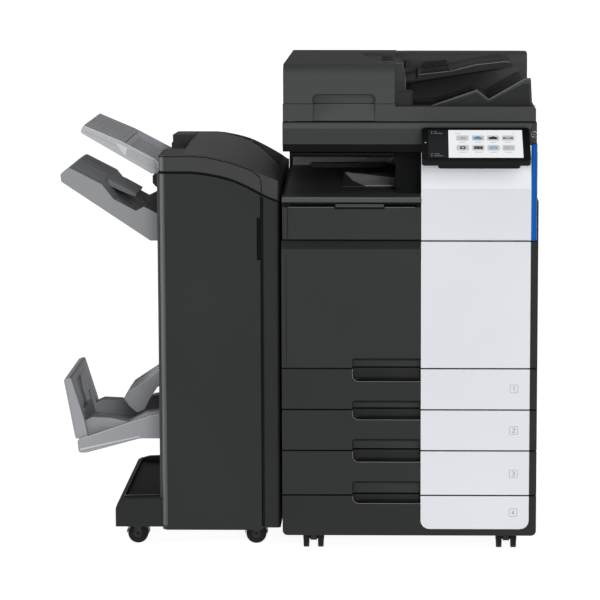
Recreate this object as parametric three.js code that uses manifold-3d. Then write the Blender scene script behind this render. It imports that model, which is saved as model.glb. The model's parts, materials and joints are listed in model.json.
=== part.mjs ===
// Floor-standing A3 office copier: main body with four paper trays, scanner and document feeder,
// touch panel, and a floor-standing finisher with three output bins. Millimetres, +Z up, front at -Y.
// Pieces are written in a working frame: X 0 the middle of the main body, Y 0 its front plane,
// Z 0 the floor. The group then moves the whole object over its own bottom centre.
import * as THREE from "three";
import { mergeVertices } from "three/addons/utils/BufferGeometryUtils.js";
import Module from "manifold-3d";

const wasm = await Module();
wasm.setup();

const root = new THREE.Group();
root.name = "photocopier";
root.position.set(270.85, -271.08, 0);

// ---- helpers ----------------------------------------------------------------------------------
const { min, PI, cos, sin, tan, atan2, acos, max } = Math;

function solid(geometry) {
  const g = geometry.clone();
  g.deleteAttribute("normal");
  g.deleteAttribute("uv");
  const m = mergeVertices(g, 1e-4);
  const made = new wasm.Manifold(
    new wasm.Mesh({
      numProp: 3,
      vertProperties: new Float32Array(m.attributes.position.array),
      triVerts: new Uint32Array(m.index.array),
    }),
  );
  return made;
}
const join = (...s) => s.flat().reduce((a, b) => a.add(b));
const cut = (a, ...s) => s.flat().reduce((p, q) => p.subtract(q), a);
const common = (a, b) => a.intersect(b);

function box(x0, x1, y0, y1, z0, z1) {
  const g = new THREE.BoxGeometry(x1 - x0, y1 - y0, z1 - z0);
  return solid(g.translate((x0 + x1) / 2, (y0 + y1) / 2, (z0 + z1) / 2));
}
// Rounds the corners of a closed outline: a corner is [a, b] or [a, b, radius].
function fillet(points, steps = 4) {
  const out = [];
  points.forEach(([x, y, r], i) => {
    if (!r) return out.push([x, y]);
    const p = points.at(i - 1),
      q = points[(i + 1) % points.length];
    const a = new THREE.Vector2(p[0] - x, p[1] - y).normalize(),
      b = new THREE.Vector2(q[0] - x, q[1] - y).normalize();
    const half = acos(max(-1, min(1, a.dot(b)))) / 2;
    const c = a.clone().add(b).normalize().multiplyScalar(r / sin(half));
    const s = a.multiplyScalar(r / tan(half)).sub(c),
      e = b.multiplyScalar(r / tan(half)).sub(c);
    const from = atan2(s.y, s.x);
    let sweep = atan2(e.y, e.x) - from;
    if (sweep > PI) sweep -= 2 * PI;
    if (sweep < -PI) sweep += 2 * PI;
    for (let k = 0; k <= steps; k++) {
      const t = from + (sweep * k) / steps;
      out.push([x + c.x + r * cos(t), y + c.y + r * sin(t)]);
    }
  });
  return out;
}
function extrude(points, depth) {
  const shape = new THREE.Shape(points.map(([a, b]) => new THREE.Vector2(a, b)));
  return new THREE.ExtrudeGeometry(shape, { depth, bevelEnabled: false });
}
const AXES_X = new THREE.Matrix4().makeBasis(
  new THREE.Vector3(0, 1, 0),
  new THREE.Vector3(0, 0, 1),
  new THREE.Vector3(1, 0, 0),
);
// Prisms along one axis: outlines are [y, z], [x, z] and [x, y].
const prismX = (pts, lo, hi) =>
  solid(extrude(pts, hi - lo).applyMatrix4(AXES_X).translate(lo, 0, 0));
const prismY = (pts, lo, hi) =>
  solid(extrude(pts, hi - lo).rotateX(PI / 2).translate(0, hi, 0));
const prismZ = (pts, lo, hi) => solid(extrude(pts, hi - lo).translate(0, 0, lo));

// Joins outlines [y, [[x, z], ...]] of equal corner count, turning anticlockwise seen from the front.
function loft(sections) {
  const n = sections[0][1].length,
    last = (sections.length - 1) * n,
    spots = sections.flatMap(([y, pts]) => pts.map(([x, z]) => new THREE.Vector3(x, y, z))),
    index = [];
  for (let s = 0; s < last; s += n)
    for (let i = 0; i < n; i++) {
      const j = (i + 1) % n;
      index.push(s + i, s + n + j, s + j, s + i, s + n + i, s + n + j);
    }
  const cap = THREE.ShapeUtils.triangulateShape(
    sections[0][1].map(([x, z]) => new THREE.Vector2(x, z)),
    [],
  );
  for (const [a, b, c] of cap) index.push(a, b, c, last + c, last + b, last + a);
  const g = new THREE.BufferGeometry().setFromPoints(spots);
  g.setIndex(index);
  return solid(g);
}
function cylinder(axis, r, lo, hi, a, b, n = 20) {
  const g = new THREE.CylinderGeometry(r, r, hi - lo, n);
  if (axis === "x") g.rotateZ(PI / 2).translate((lo + hi) / 2, a, b);
  if (axis === "y") g.translate(a, (lo + hi) / 2, b);
  if (axis === "z") g.rotateX(PI / 2).translate(a, b, (lo + hi) / 2);
  return solid(g);
}
function add(name, made, color, roughness = 0.55) {
  const m = made.getMesh();
  const g = new THREE.BufferGeometry();
  const flat = new Float32Array(m.numVert * 3);
  for (let i = 0; i < m.numVert; i++)
    flat.set(m.vertProperties.subarray(i * m.numProp, i * m.numProp + 3), i * 3);
  g.setAttribute("position", new THREE.BufferAttribute(flat, 3));
  g.setIndex(new THREE.BufferAttribute(new Uint32Array(m.triVerts), 1));
  const faceted = g.toNonIndexed();
  faceted.computeVertexNormals();
  const material = new THREE.MeshStandardMaterial({ color, roughness });
  const mesh = new THREE.Mesh(faceted, material);
  mesh.name = name;
  root.add(mesh);
}

// ---- colours ----------------------------------------------------------------------------------
const CHARCOAL = "#353737",
  CHARCOAL_LIGHT = "#414343",
  BLACK = "#141516",
  STEEL = "#8d9194",
  WHITE = "#dfe2e5",
  BLUE = "#1457a0",
  BIN_GREY = "#8b8c91",
  BIN_DARK = "#6c6d70";

// ---- driving sizes ----------------------------------------------------------------------------
const HALF = 308; // half width of the main body
const BACK = 688; // depth of the main body
const GAP = 3; // visible gap between doors and trays
const WALL = 300; // outside of the chassis walls
const TRIM_X = [27.5, 290.2]; // white panels, left and right edge
const PROUD = 1; // how far the white panels stand out
const RECESS_X = [-137.5, 27]; // finger recesses
const RECESS_DEEP = 22;
const FRONT_T = 28; // thickness of the tray fronts
const DOOR_T = 30;
// bottom and top of each tray front, from the top tray down
const TRAYS = [
  [355.5, 453.5],
  [254.8, 352.5],
  [144.6, 251.8],
  [43, 141.6],
];
const DOOR_Z = [456.5, 763.5];
const TONER_Z = [768, 847];
const RECESSES = [
  [423, 479],
  [329, 375.5],
  [225, 281],
  [122.6, 176.6],
];
const PAN = [54, 64]; // chassis floor
const SCAN_Z = [977.6, 1049.5];
const SCAN_X = 304;
const ADF_Z = 1052;
const ADF_BASE = 1087;
const ADF_TOP = 1187;

const recess = ([z0, z1]) =>
  prismY(
    fillet([
      [RECESS_X[0], z0, 15],
      [RECESS_X[1], z0],
      [RECESS_X[1], z1],
      [RECESS_X[0], z1, 6],
    ]),
    -2,
    RECESS_DEEP,
  );
const recesses = RECESSES.map(recess);

// ---- casters of the main body: twin wheels on one axle, under a swivel fork --------------------
const R_WHEEL = 25;
const MAIN_CASTERS = { fl: [-234.5, 80], fr: [237.2, 80], bl: [-234.5, 610], br: [237.2, 610] };
const TRAIL = 15;
const stemHoles = Object.values(MAIN_CASTERS).map(([x, y]) =>
  cylinder("z", 6.6, PAN[0] - 1, PAN[1] + 1, x, y),
);
for (const [key, [x, y]] of Object.entries(MAIN_CASTERS)) {
  const ya = y - TRAIL;
  const arm = prismX(
    fillet([
      [ya - 9, 17, 7],
      [ya + 9, 17, 7],
      [y + 12, 44],
      [y + 12, 52],
      [y - 16, 52],
      [ya - 9, 40],
    ]),
    x - 8,
    x + 8,
  );
  const fork = cut(
    join(arm, cylinder("z", 19, 51, 53.4, x, y, 24), cylinder("z", 6, 50, 63, x, y)),
    cylinder("x", 5.5, x - 10, x + 10, ya, R_WHEEL),
  );
  add("caster_fork_" + key, fork, BLACK);
  const wheels = join(
    cylinder("x", R_WHEEL, x - 24.3, x - 11, ya, R_WHEEL, 28),
    cylinder("x", R_WHEEL, x + 11, x + 24.3, ya, R_WHEEL, 28),
    cylinder("x", 5, x - 12, x + 12, ya, R_WHEEL, 16),
  );
  add("caster_wheel_" + key, wheels, BLACK, 0.7);
}

// ---- chassis ----------------------------------------------------------------------------------
const skin = cut(
  box(WALL - 1, 306, 34, 668, 46, 976),
  box(WALL, 307, 111, 582, 295, 853),
);
const chassis = cut(
  join(
    box(-WALL, WALL, 34, 668, ...PAN),
    box(-WALL, -288, 34, 668, PAN[0], 856),
    box(288, WALL, 34, 668, PAN[0], 976),
    box(-WALL, WALL, 656, 668, PAN[0], 976),
    [143.1, 253.3, 354].map((z) => box(-290, 290, 40, 660, z - 1.5, z + 1.5)),
    box(-290, 290, 36, 660, 453.5, 458.5),
    box(-290, 290, 36, 660, 760, 766),
    box(-WALL, WALL, 34, 660, 849, 856),
    box(17, 29, 34, 660, 764, 852),
    box(-33, WALL, 58, 660, 855, 976),
    box(-WALL, WALL, 482, 660, 855, 976),
    skin,
  ),
  box(-21, 288, 70, 470, 866, 977),
  box(-288, 288, 494, 646, 866, 977),
  box(280, WALL + 2, 130, 550, 470, 740),
  stemHoles,
);
add("main_frame", chassis, CHARCOAL);

const leftTop = [[34, 46], [668.5, 46], [668.5, 976], [484, 976], [484, 896], [34, 866]];
add("left_cover", prismX(leftTop, -HALF, -WALL - 0.6), CHARCOAL);
const REAR_OUT = [[-306, 46, 8], [306, 46, 8], [306, 1040, 14], [-306, 1040, 14]];
// rear: two louvred fields, a bay for the sockets, the mains inlet and two shut lines
const louvres = (x0, x1, z0, count, pitch, y0, y1) =>
  Array.from({ length: count }, (_, k) => box(x0, x1, y0, y1, z0 + k * pitch, z0 + k * pitch + 5));
add(
  "rear_cover",
  cut(
    prismY(fillet(REAR_OUT), 669.5, BACK),
    louvres(-250, -60, 830, 12, 12, 684, 689),
    louvres(70, 250, 110, 12, 12, 684, 689),
    box(110, 270, 679, 689, 640, 760),
    box(-275, -215, 679, 689, 80, 125),
    box(-307, 307, 686.6, 689, 302, 304),
    box(-307, 307, 686.6, 689, 796, 798),
  ),
  CHARCOAL,
);

// white fixed cover under the panel: it leans back towards its top; a slot lets the arm through
const coverSide = [[0, 766.5], [0, 914, 60], [13, 976], [33, 976], [33, 766.5]];
add(
  "right_front_cover",
  cut(
    prismX(fillet(coverSide, 5), TRIM_X[0], TRIM_X[1] + 0.4),
    box(119.4, 190.6, -5, 36, 952, 974),
  ),
  WHITE,
  0.4,
);
const accentPlan = [[291.1, 0, 2], [303, 0, 6], [304.5, 12], [304.5, 33.4], [291.1, 33.4]];
add("side_accent", prismZ(fillet(accentPlan), 765.5, 998), BLUE, 0.4);

// ---- output surface inside the body ------------------------------------------------------------
const LIP = [858, 870];
const exitSide = [[-1, LIP[0]], [-1, LIP[1], 4], [20, 871.5], [480, 901], [480, 894], [35, 864], [20, LIP[0]]];
const exitShort = [[-1, LIP[0]], [-1, LIP[1], 4], [20, 871.5], [57, 873.8], [57, 865.5], [35, 864], [20, LIP[0]]];
const exitLip = [[-1, LIP[0]], [-1, LIP[1], 4], [20, 871.5], [33.4, 872.3], [33.4, 862], [20, LIP[0]]];
const inset = prismX([[150, 876], [150, 881], [232, 886.5], [262, 902], [262, 884]], -164, -34);
add(
  "exit_tray",
  join(
    prismX(fillet(exitSide), -300, -33.5),
    prismX(fillet(exitLip), -306, -299),
    prismX(fillet(exitShort), -34, 27),
    inset,
    box(-250, -60, 440, 479.5, 896, 908),
  ),
  CHARCOAL,
);

// ---- scanner ----------------------------------------------------------------------------------
const scanSide = [[15, SCAN_Z[0]], [640, SCAN_Z[0]], [640, SCAN_Z[1], 4], [0, SCAN_Z[1], 3], [0, 996.5, 3]];
const KEY = [296, 1021]; // round key beside the panel
add(
  "scanner_housing",
  cut(
    prismX(fillet(scanSide), -SCAN_X, SCAN_X - 1.5),
    box(-285, 285, 26, 614, 984, 1044),
    box(-292, 292, 18, 622, 1043, 1051),
    box(290.4, 306, -1, 34.4, 977, 999),
    cylinder("y", 6, -1, 8, KEY[0], KEY[1], 24),
  ),
  CHARCOAL_LIGHT,
);
add("platen_glass", box(-291.5, 291.5, 18.5, 621.5, 1043.6, 1048.6), STEEL, 0.1);
add("scan_carriage", box(-280, -240, 34, 606, 992, 1036), BLACK);
add("power_key", cylinder("y", 5.5, -1.5, 6, KEY[0], KEY[1], 24), STEEL);

// ---- document feeder ---------------------------------------------------------------------------
const FEED_X = [-302, -36];
const gripSide = [[-2, 1050], [-2, 1116], [10, 1116], [15, 1104], [12, 1086], [5, 1064], [5, 1050]];
const gripFront = fillet([[-231, 1040], [-83, 1040], [-83, 1115, 12], [-231, 1115, 12]]);
const grip = common(prismX(gripSide, -232, -82), prismY(gripFront, -3, 20));
const fence = [[-34, 1080], [-34, 1087], [52, 1087], [160, 1124.5], [188, 1102], [275, 1152], [288, 1152, 1], [292, 1080]];
// the surface the originals land on, lower than the fence in front of it
const landing = [[-30, 1068], [60, 1068], [160, 1101], [188, 1090], [276, 1138], [276, 1087], [320, 1087], [320, 1200], [-30, 1200]];
const spine = [[486, 1080], [486, 1160], [496, 1186, 5], [600, 1186, 10], [612, 1080]];
const adfBase = [[-303, ADF_Z], [300, ADF_Z], [300, ADF_BASE, 8], [-35, ADF_BASE], [-35, 1092.7], [-303, 1092.7]];
const rollerArms = [225, 333].map((y) => box(-106, -60, y, y + 4, 1130, 1166));
// hood over the pickup roller, and the brackets that the document tray turns in
const hoodSide = [[-112, 1163.5], [-60, 1163.5], [-30, 1157], [-15, 1157], [-15, 1168, 3], [-44, 1182.5, 10], [-112, 1182.5, 6]];
const hood = common(
  prismY(fillet(hoodSide), 188, 440),
  prismZ(fillet([[-76, 190], [-12, 190], [-12, 428, 6], [-112, 428, 6]]), 1150, 1190),
);
const bracket = [[-58, 1060], [6, 1060], [6, 1118], [-12, 1120], [-10, 1144], [-17, 1184, 3], [-46, 1184, 4], [-58, 1166]];
add(
  "adf_body",
  cut(
    join(
      cut(
        join(prismY(fillet(adfBase), 0, 638), prismY(fillet(fence), 22, 490)),
        prismY(landing, 50, 487),
      ),
      prismX(fillet(spine), -34, 298),
      box(-286, -60, 34, 480, 1085, 1138),
      box(-61, -34, 34, 480, 1052.5, 1090),
      prismY(fillet(bracket), 92, 128.4),
      box(-60, 3, 431.6, 470, 1060, 1150),
      box(-12, 3, 436, 470, 1140, 1171),
      rollerArms,
      hood,
    ),
    grip,
    cylinder("y", 4.6, 220, 342, -88, 1150, 16),
    box(-270, -76, 60, 440, 1100, 1139),
  ),
  CHARCOAL_LIGHT,
);
const coverProfile = fillet([[1, 1093.3], [1, ADF_TOP, 26], [611, ADF_TOP, 10], [611, 1093.3]], 6);
const rightEdge = [[-35, 78], [-62, 82], [-102, 300], [-127, 486], [-34, 486], [-34, 78]];
const coverPlan = fillet([[-302, 1], [FEED_X[1], 1, 5], [FEED_X[1], 484], [-34.5, 484], [-34.5, 612], [-302, 612]]);
add(
  "adf_feed_cover",
  cut(
    join(
      cut(
        prismX(coverProfile, FEED_X[0], -34.5),
        prismX([[9, 1090], [9, 1178], [484, 1178], [484, 1090]], -294, -30),
        prismX([[483, 1090], [483, 1178], [603, 1178], [603, 1090]], -294, -42),
      ),
      box(-238, -76, 8, 26, 1093.3, 1122),
    ),
    grip,
    prismZ(rightEdge, 1090, 1190),
    box(-36, -30, -2, 79, 1090, 1190),
  ),
  CHARCOAL_LIGHT,
);
const rollers = join(
  cylinder("y", 4, 222, 340, -88, 1150, 16),
  cylinder("y", 10.5, 236, 262, -88, 1150, 20),
  cylinder("y", 10.5, 300, 326, -88, 1150, 20),
);
add("adf_pickup_roller", rollers, BLACK, 0.8);
// sloping tray for the originals, hinged at its low left end
const traySide = [
  [-40, 1127], [6, 1134], [90, 1148], [212, 1167], [247, 1176, 3], [245, 1184, 3],
  [229, 1186.6], [160, 1178], [100, 1163], [20, 1154], [14, 1143], [-40, 1137],
];
add("adf_document_tray", prismY(fillet(traySide), 129, 431), CHARCOAL);
const trayTop = (x) => 1154 + ((x - 20) * 9) / 80 + 0.5;
const guideFence = [[26, trayTop(26)], [96, trayTop(96)], [90, trayTop(90) + 12, 4], [34, trayTop(34) + 12, 4]];
const guideFoot = [[26, trayTop(26)], [96, trayTop(96)], [96, trayTop(96) + 3], [26, trayTop(26) + 3]];
const guide = (y, side) => {
  const [f0, f1] = side > 0 ? [y, y + 40] : [y - 40, y];
  const [p0, p1] = side > 0 ? [y, y + 4] : [y - 4, y];
  return join(prismY(fillet(guideFence), p0, p1), prismY(guideFoot, f0, f1));
};
add("adf_guide_front", guide(158, 1), CHARCOAL_LIGHT);
add("adf_guide_rear", guide(402, -1), CHARCOAL_LIGHT);

// ---- touch panel on its arm --------------------------------------------------------------------
const PANEL_X = [27.8, 283.2];
const PANEL_HINGE = [-28, 1003];
const TILT = atan2(66, 136);
const PANEL_TOP = [-10, 1038]; // rear upper edge of the face
const PANEL_LONG = 151;
function tilted(points, lo, hi) {
  const g = extrude(points, hi - lo).translate(0, 0, lo);
  return solid(g.rotateX(TILT).translate(0, ...PANEL_TOP));
}
const rect = (x0, x1, y0, y1, r = 0) => fillet([[x0, y0, r], [x1, y0, r], [x1, y1, r], [x0, y1, r]]);
const ear = [[-38, 1016], [-37, 997], [-31, 993], [-24, 993], [-18, 998], [-16, 1026]];
const SCREEN = [42, 267, -140, -9];
add(
  "panel_housing",
  cut(
    join(
      tilted(rect(...PANEL_X, -PANEL_LONG, 0, 9), -14, 0),
      tilted(rect(66, 259, -141, -62, 8), -28, -13),
      prismX(ear, 102, 119),
      prismX(ear, 191, 208),
    ),
    tilted(rect(SCREEN[0], SCREEN[1], SCREEN[2], SCREEN[3], 2), -2.4, 1),
  ),
  BLACK,
  0.35,
);
add(
  "panel_screen",
  tilted(rect(SCREEN[0] + 0.4, SCREEN[1] - 0.4, SCREEN[2] + 0.4, SCREEN[3] - 0.4, 2), -2, -0.3),
  WHITE,
  0.15,
);
const armSide = [
  [33, 955], [33, 971], [-3, 971], [-9, 998], [-20, 1008], [-28, 1011.5], [-35, 1008.5], [-37, 1000],
  [-30, 976], [-14, 955],
];
add("panel_arm", prismX(armSide, 120, 190), BLACK);

// ---- doors and supplies ------------------------------------------------------------------------
const tonerSide = fillet([[0, TONER_Z[0]], [0, TONER_Z[1], 3], [26, TONER_Z[1]], [26, TONER_Z[0]]]);
add(
  "toner_door",
  cut(prismX(tonerSide, -305, 16), box(-180, -60, -1, 12, 842, 848)),
  CHARCOAL,
);
const doorSide = [[0, DOOR_Z[0]], [0, DOOR_Z[1], 2], [DOOR_T, DOOR_Z[1]], [DOOR_T, DOOR_Z[0]]];
const doorBevel = [[-1, 745], [0, 745], [15, DOOR_Z[1] + 1], [-1, DOOR_Z[1] + 1]];
const trimPocket = (z0, z1, r = 0) =>
  prismY(
    fillet([
      [TRIM_X[0] - 0.5, z0, r], [TRIM_X[1] + 0.5, z0, r],
      [TRIM_X[1] + 0.5, z1], [TRIM_X[0] - 0.5, z1],
    ]),
    -2,
    2.2,
  );
const trimPlate = (z0, z1, r = 0) =>
  prismY(
    fillet([[TRIM_X[0], z0, r], [TRIM_X[1], z0, r], [TRIM_X[1], z1], [TRIM_X[0], z1]]),
    -PROUD,
    1.8,
  );
add(
  "front_door",
  cut(
    prismX(fillet(doorSide), -HALF, HALF),
    prismX(doorBevel, -HALF - 1, TRIM_X[0] - 0.5),
    trimPocket(DOOR_Z[0] - 1, DOOR_Z[1] + 1),
    recesses[0],
    box(-290, 284, 20, 31, 482, 742),
  ),
  CHARCOAL,
);
add("front_door_trim", trimPlate(DOOR_Z[0], DOOR_Z[1]), WHITE, 0.4);

const BOTTLE_X = [-250, -182, -114, -46];
add(
  "toner_rack",
  join(
    box(-284, -12, 60, 560, 767, 778),
    BOTTLE_X.map((x) => cylinder("y", 31, 66, 540, x, 806.5, 24)),
    BOTTLE_X.map((x) => cylinder("y", 22, 48, 68, x, 806.5, 20)),
  ),
  CHARCOAL_LIGHT,
);
const DRUM_X = [-225, -95, 35, 165];
add(
  "drum_rack",
  join(
    box(-284, 284, 48, 54, 462, 756),
    DRUM_X.map((x) => box(x, x + 70, 52, 520, 560, 700)),
    DRUM_X.map((x) => box(x + 8, x + 62, 38, 50, 600, 690)),
    box(-250, 250, 52, 520, 500, 545),
  ),
  CHARCOAL_LIGHT,
);

// ---- paper trays: a dark front, an open tub and a white panel ----------------------------------
const TUB_X = 262,
  TUB_BACK = 600,
  TUB_H = 70;
TRAYS.forEach(([z0, z1], i) => {
  const n = i + 1;
  const front = i === 3
    ? prismY(fillet([[-HALF, z0, 12], [HALF, z0, 12], [HALF, z1], [-HALF, z1]]), 0, FRONT_T)
    : box(-HALF, HALF, 0, FRONT_T, z0, z1);
  const tubTop = z1 - 4,
    tubLow = tubTop - TUB_H;
  const tub = cut(
    box(-TUB_X, TUB_X, FRONT_T - 2, TUB_BACK, tubLow, tubTop),
    box(-TUB_X + 4, TUB_X - 4, FRONT_T + 6, TUB_BACK - 4, tubLow + 4, tubTop + 1),
  );
  const rails = [-1, 1].map((s) => {
    const x = [s * (TUB_X - 1), s * (TUB_X + 14)];
    return box(min(...x), max(...x), FRONT_T - 2, TUB_BACK, tubTop - 30, tubTop - 22);
  });
  const low = i === 3 ? 59.5 : z0;
  add(
    "tray_" + n,
    cut(
      join(front, tub, rails),
      trimPocket(i === 3 ? low - 0.5 : z0 - 1, z1 + 1, i === 3 ? 21 : 0),
      recesses,
    ),
    CHARCOAL,
  );
  add("tray_trim_" + n, trimPlate(i === 3 ? low : z0, z1, i === 3 ? 21 : 0), WHITE, 0.4);
});

// ---- right side: jam door with the fold-down bypass tray ---------------------------------------
add(
  "right_door",
  cut(
    prismY(fillet([[300.8, 298], [313, 298, 4], [313, 850, 4], [300.8, 850]]), 114, 566),
    box(307.5, 315, 157, 523, 467, 763),
  ),
  CHARCOAL,
);
add(
  "bypass_tray",
  cut(
    prismY(fillet([[308.2, 468.5], [313.5, 468.5], [313.5, 760, 3], [308.2, 760]]), 160, 520),
    box(312, 315, 300, 380, 720, 746),
  ),
  CHARCOAL_LIGHT,
);

// ---- finisher ----------------------------------------------------------------------------------
const FIN_X = [-602.5, -313];
const FIN_Y = [20, 582];
const SEAM = [
  [-602.5, 925.8], [-522.8, 925.8], [-495, 922.6], [-467.6, 918], [-445, 912.6], [-423, 906],
  [-390, 891.4], [-358, 874], [-336, 863.6], [-313, 855.4],
];
const FASCIA = [
  [-313, 906], [-354.5, 922.5], [-367.6, 928], [-401, 941.5], [-434, 952.5], [-467, 960.4],
  [-489, 964.7], [-515.6, 966.9], [-602.5, 966.9, 5],
];
const HUMP = [
  [-601, 978], [-497, 978], [-476, 975.6], [-456, 972], [-432, 966.5], [-408.5, 959], [-385, 948], [-361, 935],
  [-337, 921.5], [-318, 908.6], [-313, 905],
];
const seamAt = (drop) => SEAM.map(([x, z]) => [x, z - drop]);
// Height of a line of points [x, z], written from left to right, at x.
const heightAt = (line, x) => {
  const i = max(1, line.findIndex(([lx]) => lx >= x));
  const [a, b] = [line[i - 1], line[i]];
  return a[1] + ((b[1] - a[1]) * (x - a[0])) / (b[0] - a[0]);
};
const below = (drop, x0, x1, low) => {
  const inside = seamAt(drop).filter(([x]) => x > x0 + 0.1 && x < x1 - 0.1);
  return [[x0, low], [x0, heightAt(SEAM, x0) - drop], ...inside, [x1, heightAt(SEAM, x1) - drop], [x1, low]];
};

// base with the foot that stands out under the booklet bin
const footLow = fillet([[-718.6, 54], [-718.6, 99.5, 6], [-713, 115, 10], [-684, 124, 30], [-601, 127], [-601, 54]]);
const footDish = fillet([[-700, 75, 12], [-612, 75, 4], [-612, 556, 4], [-700, 556, 12]]);
const FIN_CASTERS = { ll: [-669.5, 110], lr: [-377.3, 110], lb: [-669.5, 520], rb: [-377.3, 520] };
const FIN_TRAIL = 10;
const finHoles = Object.values(FIN_CASTERS).map(([x, y]) =>
  cylinder("z", 6.6, 53, 90, x + FIN_TRAIL, y),
);
add(
  "finisher_base",
  cut(
    join(
      box(-606, -314, 52, 572, 54, 61.4),
      prismY(footLow, 40, 572),
    ),
    prismZ(footDish, 110, 130),
    box(-700, -615, 165, 465, 53, 80),
    box(-603.3, -600, 39, 49.5, 50, 130),
    finHoles,
  ),
  CHARCOAL,
);
const hookSlots = [200, 420].map((y) => box(-604, -580, y, y + 16, 434, 806));
const strip = prismY(below(1.5, -357.5, -313.5, 57.3), 20, 62);
const stripRound = prismZ(fillet([[-357.5, 20, 2], [-313.5, 20, 8], [-313.5, 62], [-357.5, 62]]), 50, 930);
const finShell = cut(
  prismY(below(1.5, -600, -314, 62), 50, 572),
  prismY(below(-2, -592, -326, 74), 49, 560),
);
add(
  "finisher_frame",
  cut(
    join(
      finShell,
      common(strip, stripRound),
      box(-366, -356, 24, 60, 718, 816),
      prismY([[-624, 911], [-599, 911], [-599, 881], [-616, 884], [-624, 893]], 100, 520),
      box(-594, -320, 60, 562, 636, 642),
      box(-594, -320, 60, 562, 410, 416),
      box(-560, -360, 90, 300, 640, 720),
      box(-560, -380, 120, 500, 414, 520),
    ),
    hookSlots,
    box(-358, -313, 51.4, 63, 50, 61.9),
    box(-604, -590, 135, 495, 826, 870),
    box(-604, -590, 165, 465, 330, 364),
  ),
  CHARCOAL,
);
add(
  "finisher_rear_cover",
  cut(prismY(below(1.5, -600, -314, 62), 573, FIN_Y[1]), louvres(-560, -360, 700, 8, 12, 579, 583)),
  CHARCOAL,
);

const doorPlan = fillet([[-602.5, 20, 16], [-358.5, 20, 2], [-358.5, 48], [-602.5, 48]], 6);
const finDoor = below(1.5, -602.5, -358.5, 50.6);
add(
  "finisher_front_door",
  cut(
    common(prismY(finDoor, 19, 49), prismZ(doorPlan, 40, 940)),
    box(-367, -357, 19, 50, 716, 818),
    box(-590, -372, 40, 50, 80, 850),
  ),
  CHARCOAL,
);
const lidFront = fillet([...SEAM.map(([x, z]) => [x, z + 1]), ...FASCIA]);
const lidPlan = fillet([[-602.5, 20, 16], [-313, 20, 8], [-313, 582], [-602.5, 582]], 6);
const lidHollow = prismY(
  [...SEAM.map(([x, z]) => [max(-594, min(-321, x)), z - 5]),
    [-321, 892], [-367, 914], [-401, 928], [-434, 936], [-467, 942], [-594, 942]],
  30,
  572,
);
// the top swells from the height of the front edge to the height of the hump at the back
const FRONT_EDGE = FASCIA.map(([x, z]) => [x, z]).reverse();
const SWELL = [[30, 0], [70, 0.16], [130, 0.4], [210, 0.66], [300, 0.86], [400, 1], [578, 1]];
const swellX = HUMP.map(([x]) => min(x, -314)).filter((x) => x > -547);
const swellTop = (x, share) => {
  const low = heightAt(FRONT_EDGE, x);
  return low + share * (heightAt(HUMP, x) - low);
};
const swell = loft(
  SWELL.map(([y, share]) => [
    y,
    [
      ...[-547, ...swellX].map((x) => [x, heightAt(FRONT_EDGE, x) - 8]),
      ...[-547, ...swellX].reverse().map((x) => [x, swellTop(x, share)]),
    ],
  ]),
);
add(
  "finisher_top_cover",
  cut(
    join(
      common(prismY(lidFront, 19, FIN_Y[1]), prismZ(lidPlan, 800, 1000)),
      swell,
      common(
        prismY(fillet([[-599, 940], [-546, 940], [-546, 990], [-599, 990]]), 400, 578),
        prismX([[399, 930], [399, 985], [580, 978], [580, 930]], -600, -545),
      ),
    ),
    lidHollow,
    box(-604, -547, 204, 400, 948, 1000),
    box(-604, -592, 140, 490, 927, 941),
  ),
  CHARCOAL,
);
const BIN_Y = [130, 500];
add(
  "upper_bin",
  cut(
    prismY(
      fillet([[-802, 1013, 6], [-795, 1031, 6], [-705, 993], [-616, 946, 10], [-604.5, 940], [-604.5, 913], [-630, 913, 4]]),
      ...BIN_Y,
    ),
    prismY([[-700, 975], [-684, 966], [-610, 927], [-603, 925], [-603, 960], [-690, 1003]], 150, 480),
  ),
  BIN_GREY,
);
add(
  "main_bin",
  join(
    cut(
      prismY(
        fillet([
          [-850, 893, 8], [-852, 912, 8], [-829.7, 927, 8], [-765, 893.7], [-751.5, 886.8], [-722.8, 850.6],
          [-669, 821.5], [-648.8, 831.5], [-604.5, 809], [-604.5, 748.5], [-634, 748.5, 4],
        ]),
        ...BIN_Y,
      ),
      prismY([[-752, 892], [-738, 868], [-724, 846], [-668, 800], [-600, 768], [-600, 840], [-700, 900]], 144, 486),
    ),
    [202, 422].map((y) => box(-607, -584, y, y + 12, 770, 800)),
  ),
  BIN_DARK,
);
const bookletBeam = [[-823, 247, 5], [-643, 309], [-604.5, 316], [-604.5, 252], [-668, 252, 20], [-800, 216, 12], [-820, 216, 6]];
const bookletPlate = [[-828, 250], [-856, 398, 5], [-838, 404, 5], [-806, 300], [-796, 250]];
const bookletBed = [[-826, 250], [-822, 280], [-800, 296], [-786, 302], [-742, 300], [-697, 290], [-655, 312], [-604.5, 318], [-604.5, 262], [-700, 262]];
add(
  "booklet_bin",
  cut(
    join(
      prismY(fillet(bookletBeam), 150, 480),
      prismY(fillet(bookletPlate), 158, 472),
      prismY(bookletBed, 172, 458),
    ),
    prismY([[-822, 330], [-806, 270], [-744, 262], [-699, 258], [-652, 282], [-603, 300], [-603, 330]], 215, 415),
    prismY([[-845, 386], [-835, 330], [-824, 296], [-800, 330], [-820, 386]], 235, 395),
  ),
  BIN_GREY,
);
const flap = [
  [-715, 338, 3], [-701, 357, 4], [-616, 414, 3], [-605, 410], [-605, 384], [-631, 366, 20], [-650, 334, 10],
  [-662, 309, 6], [-681, 301, 6], [-702, 319, 4],
];
add("booklet_flap", prismY(fillet(flap), 230, 400), BIN_GREY);
add(
  "exit_roller",
  join(
    cylinder("y", 5, 138, 492, -584, 848, 16),
    [170, 290, 410].map((y) => cylinder("y", 12, y, y + 50, -584, 848, 20)),
  ),
  BLACK,
  0.8,
);

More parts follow.
